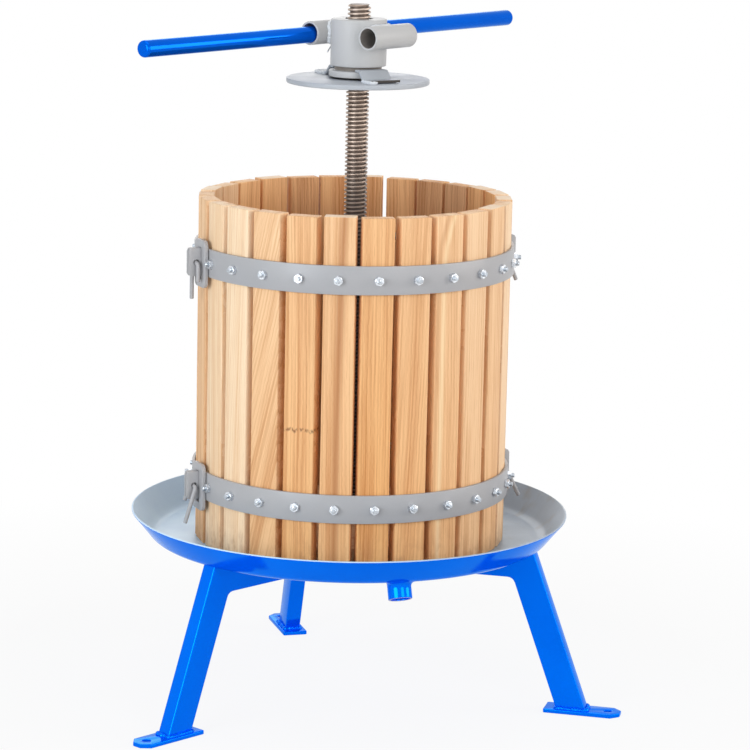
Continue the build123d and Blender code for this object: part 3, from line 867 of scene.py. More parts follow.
def wood(name):
    """Planed straight-grained wood: broad bands of tone, growth lines, fibres, pores and odd marks, with
    painted shade in a dull dark brown for tones above 1
    """
    s = Shader(name, Specular_IOR_Level=0.2)

    def read(label, output="Fac"):
        return s.add("Attribute", {}, attribute_name=label).outputs[output]

    place = read("grain", "Vector")
    tone, streak, streak_dark = read("tone"), read("streak"), read("streak_dark")

    # The log's lines sway a little from side to side
    sway = s.add("TexNoise", {"Vector": s.stretch(place, 9.0, 9.0, 2.0), "Scale": 1.0, "Detail": 2.0})
    centred = s.add("VectorMath", {0: sway.outputs["Color"], 1: (0.5, 0.5, 0.5)}, operation="SUBTRACT")
    sideways = s.stretch(centred.outputs[0], 0.011, 0.011, 0.0)
    swayed = s.add("VectorMath", {0: sideways, 1: place}, operation="ADD").outputs[0]

    # Grain
    bands = s.streaks(swayed, 85.0, 1.0)
    lines = s.add(
        "TexWave", {"Vector": swayed, "Scale": 70.0, "Distortion": 2.2, "Detail": 2.0, "Detail Scale": 1.5},
        wave_type="BANDS", bands_direction="X", wave_profile="SAW",
    ).outputs["Fac"]
    late = s.math("POWER", lines, 2.0)
    fibres = s.streaks(swayed, 620.0, 6.0, 3.0, 0.6)
    pores = s.streaks(swayed, 1900.0, 40.0)
    shade = s.plus(s.spread(bands, 0.3, 0.7, -0.3, 0.6), s.spread(fibres, 0.3, 0.7, -0.38, 0.5))
    shade = s.plus(shade, s.times(late, 0.42))
    pale = s.mix(tone, rgb(250, 223, 190), rgb(238, 181, 120))
    deep = s.mix(tone, rgb(233, 191, 146), rgb(201, 133, 77))
    # Painted shade: tones from 1 to 2 turn to a dull dark brown, for the shaded inner faces of the basket
    shaded_inside = s.mix(shade, rgb(198, 158, 128), rgb(138, 98, 72))
    colour = s.mix(s.spread(tone, 1.0, 2.0), s.mix(shade, pale, deep), shaded_inside)
    colour = s.mix(s.spread(pores, 0.60, 0.74, 0.0, 0.25), colour, rgb(160, 106, 64))

    # A dark streak, or a pale one with a dark line beside it
    edge = s.plus(s.math("ABSOLUTE", streak), s.spread(fibres, 0.2, 0.8, -0.45, 0.45))
    inside = s.spread(edge, 0.1, 1.2, 1.0, 0.0)
    beside = s.spread(s.math("ABSOLUTE", s.plus(streak, 2.1)), 0.2, 1.2, 0.5, 0.0)
    darker = s.spread(streak_dark, 0.0, 1.0)
    paler = s.spread(streak_dark, 0.0, -1.0)
    colour = s.mix(s.times(inside, darker), colour, rgb(170, 106, 62))
    colour = s.mix(s.times(inside, paler), colour, rgb(250, 224, 180))
    colour = s.mix(s.times(beside, paler), colour, rgb(176, 112, 66))

    # A row of dark flecks across the plank, a worn foot and pale sawn ends
    wander = s.spread(s.streaks(place, 160.0, 0.0), 0.0, 1.0, -0.004, 0.004)
    off = s.math("ABSOLUTE", s.math("SUBTRACT", s.plus(s.axis(place, "Z"), wander), read("knot")))
    flecks = s.spread(s.streaks(place, 300.0, 150.0), 0.42, 0.56)
    mark = s.times(s.spread(off, 0.0006, 0.0030, 1.0, 0.0), flecks)
    colour = s.mix(s.times(mark, 0.75), colour, rgb(122, 72, 44))
    waves = s.spread(s.streaks(swayed, 75.0, 38.0, 3.0, 0.6), 0.48, 0.60, 0.0, 0.4)
    colour = s.mix(s.times(read("foot"), waves), colour, rgb(172, 112, 74))
    s.colour(s.mix(s.times(read("sawn"), 0.7), colour, rgb(248, 226, 198)))
    s.rough(s.spread(fibres, 0.3, 0.7, 0.5, 0.66))
    s.bump(s.math("SUBTRACT", s.times(fibres, 0.6), s.times(late, 0.3)), 0.00012)
    return s.material


GLOSS = {"rough": 0.10, "specular": 0.03, "metallic": 0.5, "tint": (0.55, 0.88, 1.0, 1.0)}
BLUE = paint("blue_enamel", (0, 115, 246), (0, 104, 234), **GLOSS)
BAR_BLUE = paint("bar_enamel", (0, 96, 219), (0, 87, 207), **GLOSS)
BARE = paint("bare_edge", (176, 178, 214), (150, 156, 204), 0.4, 0.4)
HEAD_GREY = paint("head_enamel", (197, 196, 195), (187, 187, 188), 0.4, 0.2)
BAND_GREY = paint("band_enamel", (175, 173, 174), (163, 164, 168), 0.4, 0.4)
PLATE_GREY = paint("plate_enamel", (182, 186, 192), (172, 177, 184), 0.4, 0.2)
# Painted highlight: the welds are paler than the enamel around them, standing in for their glints
WELD_HIGHLIGHT_GREY = paint("weld_painted_highlight", (226, 230, 234), (206, 210, 216), 0.3, 0.4)
BARE_STEEL = paint("bare_steel", (134, 126, 118), (114, 106, 100), 0.45, 0.3)
SHADED = paint("socket_bore", (150, 143, 139), (130, 124, 121), 0.45, 0.3)
# Grease and painted shade: dark grease in the hub's bore with painted shade in its mouth, and painted shade
# under the flange and on the clips' foot ends
GREASE_AND_SHADE = paint("grease_and_painted_shade", (70, 64, 60), (52, 48, 46), 0.5, 0.3)
PAN_GREY = pan_inside()
ZINC = zinc("zinc", (204, 211, 219), (242, 245, 249))
BOLT_ZINC = zinc("bolt_end", (168, 175, 183), (212, 218, 225))
STEEL = spindle_steel()
WOOD = wood("basket_wood")


# Staves
def stave_angles(half):
    first = -90.0 + STAVE_PITCH / 2 + (0.0 if half == "front" else 180.0)
    return [first + STAVE_PITCH * i for i in range(STAVES_PER_HALF)]


def make_stave():
    "A stave that faces -Y, with the seats of its two bolt heads"
    edges = [STAVE_OUTER_EDGE] * 2 + [STAVE_INNER_EDGE] * 2
    outline = rounded(-STAVE_HALF_W, -STAVE_FACE_R, STAVE_HALF_W, -STAVE_INNER_R, edges, steps=3)
    bm = bmesh.new()
    slab(bm, [outline], FLOOR_Z, BASKET_TOP_Z, STAVE_END_EDGE, cuts=12)
    seats = [outward(STAVE_INNER_R, z) for z in BAND_Z.values()]
    return drill(bm, BOLT_HEAD_R + BOLT_SEAT_PLAY, BOLT_HEAD_T, BOLT_HEAD_SIDES, seats)


STAVE_TILTS = {"front_03": -13.0, "front_08": 1.0, "front_01": 1.0}
STAVE_KNOTS = {"front_04": 0.168}
STAVE_STREAKS = {
    "front_05": Streak(0.0, 0.05, 0.1, 0.006, 0.7),
    "front_08": Streak(-0.0085, 3.0, 0.355, 0.0042, -0.6),
}
STAVE_TONES = {
    "front_01": 0.12, "front_02": 0.2, "front_03": 0.75, "front_04": 0.95, "front_05": 0.85, "front_06": 1.05,
    "front_07": 0.9, "front_08": 0.8, "front_09": 0.65, "front_10": 0.7, "front_11": 0.4, "rear_13": 0.7,
}
# Painted shade: inner tones above 1 darken the inner faces of these staves, where the basket's inside lies in
# shade
INNER_SHADE_TONES = {
    "rear_01": 1.6, "rear_02": 1.9, "rear_03": 1.8, "rear_04": 1.6, "rear_05": 1.6, "rear_06": 1.6,
    "rear_07": 1.7, "rear_08": 1.1, "rear_09": 1.1, "front_13": 1.2,
}
INNER_TONE = 0.7
STAVE_SHIFTS = {"rear_04": -0.9, "rear_05": 0.9, "rear_07": -1.9}


def add_staves():
    base = make_stave()
    draw = random.Random(11)
    number = 0
    for half in ("front", "rear"):
        for index, angle in enumerate(stave_angles(half), start=1):
            label = f"{half}_{index:02d}"
            number += 1
            bm = base.copy()
            lift = draw.uniform(-STAVE_MOST_SHORT, 0.0)
            bow = draw.uniform(-STAVE_MOST_BOW, STAVE_MOST_BOW)
            for v in bm.verts:
                share = (v.co.z - FLOOR_Z) / STAVE_H
                v.co.x += bow * 4 * share * (1 - share) + STAVE_SHIFTS.get(label, 0.0)
                v.co.z += lift * share
            place = in_basket(angle)
            place_shape(bm, place)
            name = f"wood_stave_{label}"
            piece = add_piece(name, bm, "stand", [WOOD], [f"stave_{label}"], sharp=40)
            to_board = moved(0, STAVE_FACE_R * MM, -FLOOR_Z * MM) @ place.inverted()
            tilt = STAVE_TILTS.get(label, draw.uniform(-2.0, 2.0))
            tone = STAVE_TONES.get(label, draw.uniform(0.2, 1.0))
            inner_tone = INNER_SHADE_TONES.get(label, INNER_TONE)
            knot = STAVE_KNOTS.get(label, NOWHERE)
            streak = STAVE_STREAKS.get(label)
            add_grain(piece, to_board, number, tilt, tone, inner_tone, knot, streak, STAVE_H * MM)
    base.free()


# Bands
def band_path():
    "Middle line of the front half band: a lug bent out of the arc at each end"
    middle = BAND_IN_R + BAND_T / 2
    lug_y = -SPLIT_GAP / 2 - BAND_T / 2
    bend = LUG_BEND_R + BAND_T / 2
    centre = Vector((math.sqrt((middle + bend) ** 2 - (lug_y - bend) ** 2), lug_y - bend))
    leave = math.atan2(centre.y, centre.x)
    end = resample([Vector((LUG_END_R, lug_y)), Vector((centre.x, lug_y))], BAND_STEP)[:-1]
    end += arc(bend, math.pi / 2, (leave + math.pi) % (2 * math.pi), 8, centre)[:-1]
    other_end = [Vector((-p.x, p.y)) for p in reversed(end)]
    return [p.to_3d() for p in end + arc(middle, leave, -math.pi - leave, 96) + other_end]


def band_section(p):
    "Section of a band at a point of its path: lower where a lug's corners are rounded off"
    on_lug = p.y > -LUG_FACE
    short = max(0.0, LUG_CORNER_R - LUG_END_R + abs(p.x)) if on_lug else 0.0
    corner = math.sqrt(max(0.0, LUG_CORNER_R ** 2 - short ** 2))
    return box_outline(BAND_T / 2, BAND_H / 2 - LUG_CORNER_R + corner, BAND_EDGE, steps=2)


def add_bands():
    path = band_path()
    holes = [moved(side * PIN_AXIS_R, 0, 0) @ turned(90, "X") for side in (-1, 1)]
    for level, z in BAND_Z.items():
        for half, turn in (("front", 0), ("rear", 180)):
            bm = bmesh.new()
            sweep(bm, path, lambda i: band_section(path[i]), UP)
            bm = drill(bm, LUG_HOLE_R, LUG_HOLE_REACH, LUG_HOLE_SIDES, holes)
            place_shape(bm, in_basket(turn) @ moved(0, 0, z))
            name = f"steel_band_{half}_{level}"
            add_piece(name, bm, "stand", [BAND_GREY], [f"band_{half}_{level}"])


# Stave bolts and nuts
def add_bolt(bm, place_at):
    "A low domed head in the stave's inner face and a threaded end outside the nut"
    dome = [(0.0, 0.0), (4.2, 0.35), (6.3, 1.0), (BOLT_HEAD_R, 2.0)]
    head = dome + [(BOLT_HEAD_R, BOLT_HEAD_T), (0.0, BOLT_HEAD_T)]
    lathe(bm, head, BOLT_HEAD_SIDES, place_at(STAVE_INNER_R + BOLT_HEAD_SINK), closed=False)
    shank_from = STAVE_INNER_R + BOLT_SHANK_IN
    thread_from = BAND_OUT_R + NUT_T - BOLT_THREAD_IN_NUT
    length = BOLT_STICKOUT + BOLT_THREAD_IN_NUT
    cylinder(bm, BOLT_SHANK_R, 0.0, thread_from - shank_from, BOLT_SIDES, place_at(shank_from))
    thread(bm, BOLT_R, BOLT_ROOT_R, BOLT_PITCH, 0.0, length, BOLT_SIDES, BOLT_TIP, place_at(thread_from))


def add_fasteners():
    draw = random.Random(5)
    for half in ("front", "rear"):
        bolts = bmesh.new()
        nuts = bmesh.new()
        for z in BAND_Z.values():
            for angle in stave_angles(half):
                def place_at(distance):
                    return in_basket(angle) @ outward(distance, z)

                spin = Matrix.Rotation(draw.uniform(0, math.pi / 3), 4, "Z")
                add_bolt(bolts, place_at)
                hex_nut(nuts, NUT_FLATS, NUT_BORE_R, NUT_T, place_at(BAND_OUT_R) @ spin, sides=36)
        screws = f"stave_screws_{half}"
        add_piece(screws, bolts, "stand", [BOLT_ZINC], [f"stave_bolts_{half}"], sharp=50)
        add_piece(f"hex_nuts_{half}", nuts, "stand", [ZINC], [f"stave_nuts_{half}"], sharp=25)


# Latches, drawn at the split on +X of the unturned basket
def add_clip(name, turn, z):
    slot_h = BAND_H + CLIP_SLOT_LONG
    hang = BAND_H / 2 + CLIP_PLAY - slot_h / 2
    outer = box_outline(CLIP_W / 2, slot_h / 2 + CLIP_MARGIN, CLIP_CORNER_R)
    slot = box_outline(LUG_FACE + CLIP_SLOT_SIDE, slot_h / 2, CLIP_SLOT_CORNER_R, steps=3)[::-1]
    stand_up = Matrix(((0, 0, 1, 0), (1, 0, 0, 0), (0, 1, 0, 0), (0, 0, 0, 1)))
    place = in_basket(turn) @ moved(BAND_OUT_R + CLIP_PLAY, 0, z + hang) @ stand_up
    bm = bmesh.new()
    slab(bm, [outer, slot], 0.0, CLIP_T, CLIP_EDGE, place)
    add_piece(f"slotted_clip_{name}", bm, "stand", [BAND_GREY], [f"latch_clip_{name}"])


def add_pin(name, turn, z):
    reach = PIN_LONG_SIDE[name] * (LUG_FACE + PIN_STANDOFF + PIN_BEND_R)
    corners = [
        Vector((0, reach, PIN_END - PIN_LONG_LEG)),
        Vector((0, reach, 0)),
        Vector((0, -reach, 0)),
        Vector((0, -reach, PIN_END - PIN_SHORT_LEG)),
    ]
    place = in_basket(turn) @ moved(PIN_AXIS_R, 0, z - PIN_DROP) @ turned(-PIN_HANG[name], "Y")
    path = [place @ p for p in arc_path(corners, PIN_BEND_R)]
    bm = bmesh.new()
    rod(bm, path, PIN_R, place.to_3x3() @ Vector((1, 0, 0)), PIN_END)
    add_piece(f"bent_rod_{name}", bm, f"pin_{name}", [BAND_GREY], [f"latch_pin_{name}"])


def add_latches():
    for side, turn in (("left", 180), ("right", 0)):
        for level, z in BAND_Z.items():
            add_clip(f"{side}_{level}", turn, z)
            add_pin(f"{side}_{level}", turn, z)


# Pan and spout
def pan_profile():
    "Half section of the pan and, for each of its stretches, 0 outside or 1 inside"
    square = Vector((-math.sin(WALL_ANGLE), math.cos(WALL_ANGLE)))
    rim = Vector((PAN_RIM_R, PAN_UNDERSIDE_Z + PAN_WALL_RISE))
    corners = [
        (SPIGOT_HOLE_R, PAN_UNDERSIDE_Z, 0),
        (PAN_FLAT_R, PAN_UNDERSIDE_Z, PAN_CORNER_R + PAN_T),
        (*rim, PAN_LIP_R),
        (*(rim + square * PAN_T), PAN_LIP_R),
        (PAN_FLAT_R - PAN_T * math.tan(WALL_ANGLE / 2), FLOOR_Z, PAN_CORNER_R),
        (SPIGOT_HOLE_R, FLOOR_Z, 0),
    ]
    steps = 6
    outline = round_corners(corners, steps)
    outside = 1 + (steps + 1) + steps // 2
    return outline, [0] * outside + [1] * (len(outline) - 1 - outside) + [0]


def underside(r):
    "Height of the pan's outer face at a distance from the spindle"
    corner_r = PAN_CORNER_R + PAN_T
    into_corner = r - PAN_FLAT_R + corner_r * math.tan(WALL_ANGLE / 2)
    if into_corner < 0:
        return PAN_UNDERSIDE_Z
    if into_corner < corner_r * math.sin(WALL_ANGLE):
        return PAN_UNDERSIDE_Z + corner_r - math.sqrt(corner_r ** 2 - into_corner ** 2)
    return PAN_UNDERSIDE_Z + (r - PAN_FLAT_R) * math.tan(WALL_ANGLE)


def spout_place():
    "Stands a piece's own +Z along the spout's axis, from where that leaves the pan's underside"
    axis = Vector((0, -math.sin(SPOUT_TILT), -math.cos(SPOUT_TILT)))
    side = Vector((1, 0, 0))
    turn = Matrix((side, axis.cross(side), axis)).transposed().to_4x4()
    return moved(0, SPOUT_SET_IN - PAN_FLAT_R, PAN_UNDERSIDE_Z) @ turn


def under_pan(x, y):
    "How far along the spout's axis the pan's underside lies, beside the axis by x and y"
    place = spout_place()
    low, high = -20.0, 20.0
    for _ in range(30):
        middle = (low + high) / 2
        p = place @ Vector((x, y, middle))
        inside = p.z > underside(math.hypot(p.x, p.y))
        low, high = (middle, high) if inside else (low, middle)
    return low


def add_pan():
    outline, materials = pan_profile()
    bm = bmesh.new()
    lathe(bm, outline, PAN_SIDES, materials=materials)
    bm = drill(bm, SPOUT_BORE_R, SPOUT_HOLE_REACH, PIPE_SIDES, [spout_place()])
    add_piece("pan_dish", bm, "stand", [BLUE, PAN_GREY], ["pan"], sharp=28)


def add_spout():
    "The pipe, its top cut to the pan, and the smooth weld round it"
    end = SPOUT_LENGTH
    pipe = rounded(SPOUT_BORE_R, 0, SPOUT_R, end, [0, 0, SPOUT_END_EDGE, SPOUT_MOUTH_EDGE], steps=4)
    bm = bmesh.new()
    lathe(bm, pipe, PIPE_SIDES, materials=[int(p.y > end - SPOUT_BARE_END) for p in pipe])
    for v in bm.verts:
        if v.co.z < 1.0:
            v.co.z = under_pan(v.co.x, v.co.y) - SPOUT_SINK
    place_shape(bm, spout_place())
    add_piece("spout_pipe", bm, "stand", [BLUE, BARE], ["spout"])

    profile = [Vector((SPOUT_R + SPOUT_WELD, SPOUT_WELD)) - p for p in arc(SPOUT_WELD, 0.0, math.pi / 2, 8)]
    inner = SPOUT_R - SPOUT_SINK
    profile += [(SPOUT_R + SPOUT_WELD, -SPOUT_SINK), (inner, -SPOUT_SINK), (inner, SPOUT_WELD)]
    bm = bmesh.new()
    lathe(bm, profile, PIPE_SIDES)
    for v in bm.verts:
        v.co.z += under_pan(v.co.x, v.co.y)
    place_shape(bm, spout_place())
    add_piece("spout_weld", bm, "stand", [BLUE], sharp=60)


# Stand
def tube_section():
    return box_outline(TUBE_DEPTH / 2, TUBE_WIDTH / 2, TUBE_CORNER_R, steps=4)


def mitre_r(z):
    "Distance of the mitre between an arm and its leg at a height"
    share = (z - ARM_LOW_Z) / TUBE_DEPTH
    return MITRE_LOW_R + (MITRE_TOP_R - MITRE_LOW_R) * share


def make_leg(bm, place):
    "A leg from its mitre to its foot"
    lean = Vector((math.sin(LEG_TILT), -math.cos(LEG_TILT)))
    out = Vector((math.cos(LEG_TILT), math.sin(LEG_TILT)))
    slope = (MITRE_TOP_R - MITRE_LOW_R) / TUBE_DEPTH
    tops = []
    feet = []
    for p in tube_section():
        base = Vector((LEG_FOOT_R, FOOT_T)) + out * p.x
        to_foot = (FOOT_T - base.y) / lean.y
        to_mitre = (mitre_r(base.y) - base.x) / (lean.x - slope * lean.y)
        for ends, along in ((tops, to_mitre), (feet, to_foot)):
            q = base + lean * along
            ends.append(place @ Vector((p.y, -q.x, q.y)))
    prism_between(bm, tops, feet)


def make_arm(bm, place):
    "An arm from the boss to its mitre"
    starts = []
    ends = []
    for p in tube_section():
        z = (ARM_TOP_Z + ARM_LOW_Z) / 2 + p.x
        starts.append(place @ Vector((p.y, ARM_BITE - ANCHOR_R, z)))
        ends.append(place @ Vector((p.y, -mitre_r(z), z)))
    prism_between(bm, starts, ends)


def make_foot(bm, place):
    x, cut = FOOT_HALF_W, FOOT_CORNER_CUT
    corners = [
        (cut - x, -FOOT_OUTER_R), (x - cut, -FOOT_OUTER_R), (x, cut - FOOT_OUTER_R),
        (x, -FOOT_INNER_R), (-x, -FOOT_INNER_R), (-x, cut - FOOT_OUTER_R),
    ]
    outline = round_corners([(a, b, FOOT_CORNER_R) for a, b in corners], steps=4)
    hole = circle(FOOT_HOLE_R, FOOT_HOLE_SIDES, (0, -FOOT_BOLT_R), clockwise=True)
    slab(bm, [outline, hole], 0.0, FOOT_T, FOOT_EDGE, place)


def add_foot_weld(bm, place, seed):
    "The weld round the leg where it stands on its foot"
    x, y = TUBE_WIDTH / 2 + FOOT_WELD_OUT, LEG_HALF + FOOT_WELD_OUT
    outline = box_outline(x, y, FOOT_WELD_CORNER_R, steps=4)
    path = [place @ Vector((p.x, p.y - LEG_FOOT_R, FOOT_T + FOOT_WELD_UP)) for p in outline]
    bead(bm, path, FOOT_WELD_R, UP, seed, FOOT_WELD_RIPPLE, closed=True, lumpy=FOOT_WELD_LUMPS)


def add_gusset(bm, place):
    "The smooth weld that fills the inner corner between an arm and its leg"
    corner = Vector((0, -MITRE_LOW_R, ARM_LOW_Z))
    to_arm = Vector((0, 1, 0))
    to_leg = Vector((0, -math.sin(LEG_TILT), -math.cos(LEG_TILT)))
    line = arc_path([corner + to_arm * 2 * GUSSET_R, corner, corner + to_leg * 2 * GUSSET_R], GUSSET_R)[1:-1]
    line.append(corner - (to_arm + to_leg).normalized() * TUBE_CORNER_R)
    x = Vector((TUBE_WIDTH / 2 - GUSSET_SET_IN, 0, 0))
    prism_between(bm, [place @ (p - x) for p in line], [place @ (p + x) for p in line])


def add_stand():
    arms = bmesh.new()
    feet = bmesh.new()
    welds = bmesh.new()
    for number, (name, angle) in enumerate(LEG_ANGLES.items()):
        place = around(angle)
        leg = bmesh.new()
        make_leg(leg, place)
        add_piece(f"tube_leg_{name}", leg, "stand", [BLUE], [f"leg_{name}"])
        make_arm(arms, place)
        make_foot(feet, place)
        add_foot_weld(welds, place, number * 7.0)
        add_gusset(welds, place)
    add_piece("tube_arms", arms, "stand", [BLUE], ["arms"])
    add_piece("foot_plates", feet, "stand", [BLUE], ["feet"])
    add_piece("stand_welds", welds, "stand", [BLUE], sharp=60)


def add_anchor():
    bm = bmesh.new()
    bored_disc(bm, SPIGOT_HOLE_R, ANCHOR_R, ARM_LOW_Z, ARM_TOP_Z, ANCHOR_EDGE)
    add_piece("pan_boss", bm, "stand", [BLUE], ["anchor_boss"])
    bm = bmesh.new()
    bored_disc(bm, SPIGOT_HOLE_R, WASHER_R, ARM_LOW_Z - WASHER_T, ARM_LOW_Z, WASHER_EDGE)
    add_piece("flat_washer", bm, "stand", [ZINC], ["anchor_washer"])
    bm = bmesh.new()
    hex_nut(bm, ANCHOR_NUT_FLATS, SPIGOT_R, ANCHOR_NUT_T, moved(0, 0, ANCHOR_LOW_Z), sides=48)
    add_piece("holding_nut", bm, "stand", [ZINC], ["anchor_nut"], sharp=25)


def add_spindle():
    bm = bmesh.new()
    thread(bm, SPINDLE_R, SPINDLE_ROOT_R, SPINDLE_PITCH, FLOOR_Z, SPINDLE_TOP_Z, THREAD_SIDES, SPINDLE_TIP)
    low = ANCHOR_LOW_Z - SPIGOT_STICKOUT
    high = FLOOR_Z - SPIGOT_GAP
    tip = SPIGOT_CHAMFER
    spigot = [(0, low), (SPIGOT_R - tip, low), (SPIGOT_R, low + tip), (SPIGOT_R, high), (0, high)]
    lathe(bm, spigot, PIPE_SIDES, closed=False)
    add_piece("threaded_spindle", bm, "stand", [STEEL], ["spindle"], sharp=28)


# Press head
def add_hub():
    outline = round_corners([
        (HUB_BORE_R, FLANGE_LOW_Z, 0),
        (FLANGE_R, FLANGE_LOW_Z, FLANGE_EDGE),
        (FLANGE_R, FLANGE_TOP_Z, FLANGE_TOP_EDGE),
        (NECK_R, FLANGE_TOP_Z, NECK_FOOT_R),
        (NECK_R, HUB_LOW_Z, NECK_TOP_R),
        (HUB_R, HUB_LOW_Z, HUB_LOW_EDGE),
        (HUB_R, HUB_TOP_Z, HUB_TOP_EDGE),
        (HUB_BORE_R + HUB_MOUTH, HUB_TOP_Z, HUB_MOUTH_EDGE),
        (HUB_BORE_R, HUB_TOP_Z - HUB_MOUTH, HUB_BORE_EDGE),
    ], steps=4)
    materials = []
    for p, q in zip(outline, outline[1:] + outline[:1]):
        middle = (p + q) / 2
        in_neck = FLANGE_TOP_Z < middle.y < HUB_LOW_Z and middle.x < NECK_R + 0.5
        # Painted shade: the flange's underside and lower edge are dark where it hangs over the plate, and the
        # bore is dark with grease and painted shade
        grease_and_shade = middle.x < HUB_BORE_R + HUB_MOUTH - 0.2 or middle.y < FLANGE_LOW_Z + FLANGE_EDGE
        materials.append(1 if in_neck else 2 if grease_and_shade else 0)
    bm = bmesh.new()
    lathe(bm, outline, HUB_SIDES, materials=materials)
    add_piece("nut_hub", bm, "head", [HEAD_GREY, BARE_STEEL, GREASE_AND_SHADE], ["hub"])


def socket_weld_path(side):
    "Round the patch where a socket lies against the hub"
    half = SOCKET_WELD_HALF
    patch = rounded(-half, -SOCKET_WELD_DOWN, half, SOCKET_WELD_UP, [SOCKET_WELD_CORNER_R] * 4)
    path = []
    for along, height in resample(patch, 2.0, closed=True):
        hub_face = math.sqrt(HUB_R ** 2 - along ** 2)
        pipe_face = SOCKET_REACH - math.sqrt(SOCKET_R ** 2 - height ** 2)
        spot = Vector((along, side * (hub_face + pipe_face) / 2, SOCKET_Z + height))
        path.append(around(HANDLE_ANGLE) @ spot)
    return path


def add_sockets():
    half = SOCKET_LENGTH / 2
    edges = [SOCKET_BORE_EDGE, SOCKET_EDGE, SOCKET_EDGE, SOCKET_BORE_EDGE]
    pipe = rounded(SOCKET_BORE_R, -half, SOCKET_R, half, edges, steps=4)
    shaded_bore = [0] * (len(pipe) - 1) + [1]
    sockets = bmesh.new()
    welds = bmesh.new()
    for side in (1, -1):
        lathe(sockets, pipe, PIPE_SIDES, on_handle(side), materials=shaded_bore)
        away = around(HANDLE_ANGLE).to_3x3() @ Vector((0, side, 0))
        bead(welds, socket_weld_path(side), SOCKET_WELD_R, away, 4.0 + side, SOCKET_WELD_RIPPLE, closed=True)
    add_piece("socket_pipes", sockets, "head", [HEAD_GREY, SHADED], ["handle_sockets"])
    add_piece("socket_welds", welds, "head", [WELD_HIGHLIGHT_GREY], sharp=60)


def add_bar():
    half = BAR_LENGTH / 2
    outline = rounded(0, -half, BAR_R, half, [0, BAR_END_R, BAR_END_R, 0], steps=6)
    bm = bmesh.new()
    seat = moved(0, 0, -BAR_DROP) @ on_handle(1, BAR_OFFSET)
    lathe(bm, outline, PIPE_SIDES, seat, closed=False)
    add_piece("round_bar", bm, "head", [BAR_BLUE], ["handle_bar"])


def add_split_pin():
    "A doubled wire down through the socket: its eye lies on top and its two tails spread below"
    wire = SPLIT_PIN_R / 2
    eye_z = SOCKET_R + wire + SPLIT_PIN_EYE_UP
    half_gap = SPLIT_PIN_EYE_GAP / 2
    eye = arc(SPLIT_PIN_EYE_R, math.pi + half_gap, 3 * math.pi - half_gap, 24, (SPLIT_PIN_EYE_R, 0))
    fork = Vector((0, 0, -SOCKET_R - SPLIT_PIN_FORK_DROP))
    legs = []
    for side in (-1, 1):
        spread = Vector((side * math.sin(SPLIT_PIN_SPREAD), 0, -math.cos(SPLIT_PIN_SPREAD)))
        beside = Vector((side * wire, 0, 0))
        legs.append([fork + spread * SPLIT_PIN_TAIL, fork + beside, beside + Vector((0, 0, SOCKET_R))])
    line = legs[0] + [Vector((*p, eye_z)) for p in eye] + legs[1][::-1]
    place = around(HANDLE_ANGLE) @ moved(SPLIT_PIN_ALONG, SOCKET_REACH, SOCKET_Z)
    bm = bmesh.new()
    up = place.to_3x3() @ Vector((0.3, 1, 0.2))
    rod(bm, [place @ p for p in line], wire, up, SPLIT_PIN_END, sides=10)
    add_piece("split_wire", bm, "head", [ZINC], ["split_pin"], sharp=60)


def add_plate():
    bm = bmesh.new()
    outlines = [circle(PLATE_R, PLATE_SIDES), circle(PLATE_BORE_R, PLATE_BORE_SIDES, clockwise=True)]
    slab(bm, outlines, PLATE_TOP_Z - PLATE_T, PLATE_TOP_Z, PLATE_EDGE)
    add_piece("plate_disc", bm, "plate", [PLATE_GREY], ["pressure_plate"])


def retainer_line():
    "Middle line of a retaining clip: its lip over the flange, the slope and the foot on the plate"
    lip_low = FLANGE_TOP_Z + RETAINER_PLAY
    lip_out = FLANGE_R + RETAINER_LIP_PAST
    foot_in = lip_out + (lip_low - PLATE_TOP_Z) / math.tan(RETAINER_SLOPE)
    bend = RETAINER_T / 2 * math.tan(RETAINER_SLOPE / 2)
    low = PLATE_TOP_Z + RETAINER_T / 2
    corners = [
        Vector((0, -NECK_R - RETAINER_NECK_PLAY, lip_low + RETAINER_T / 2)),
        Vector((0, -lip_out - bend, lip_low + RETAINER_T / 2)),
        Vector((0, -foot_in - bend, low)),
        Vector((0, -RETAINER_FOOT_R, low + RETAINER_FOOT_LIFT)),
    ]
    return arc_path(corners, RETAINER_BEND_R, steps=6)


def add_retainers():
    clips = bmesh.new()
    welds = bmesh.new()
    section = box_outline(RETAINER_T / 2 - RETAINER_SHY, RETAINER_W / 2, RETAINER_EDGE, steps=2)
    for side, angle in ((-1, RETAINER_ANGLE), (1, RETAINER_ANGLE + 180)):
        place = around(angle)
        line = [place @ p for p in retainer_line()]
        sweep(clips, line, lambda i: section, place.to_3x3() @ Vector((1, 0, 0)))
        # Painted shade: the end face of each clip's foot is dark
        clips.faces.ensure_lookup_table()
        clips.faces[-1].material_index = 1
        x, y = RETAINER_W / 2 + RETAINER_WELD_OUT, RETAINER_FOOT_R + RETAINER_WELD_OUT
        corner = Vector((side * x, -y, PLATE_TOP_Z + RETAINER_WELD_UP))
        up_side = Vector((0, RETAINER_WELD_SIDE, 0))
        along_end = Vector((-side * RETAINER_WELD_END, 0, 0))
        path = [place @ p for p in (corner + up_side, corner, corner + along_end)]
        bead(welds, path, RETAINER_WELD_R, UP, 11.0 + side, RETAINER_WELD_RIPPLE)
    add_piece("retainers", clips, "plate", [PLATE_GREY, GREASE_AND_SHADE], ["retainer_clips"], sharp=40)
    add_piece("retainer_welds", welds, "plate", [WELD_HIGHLIGHT_GREY], sharp=60)


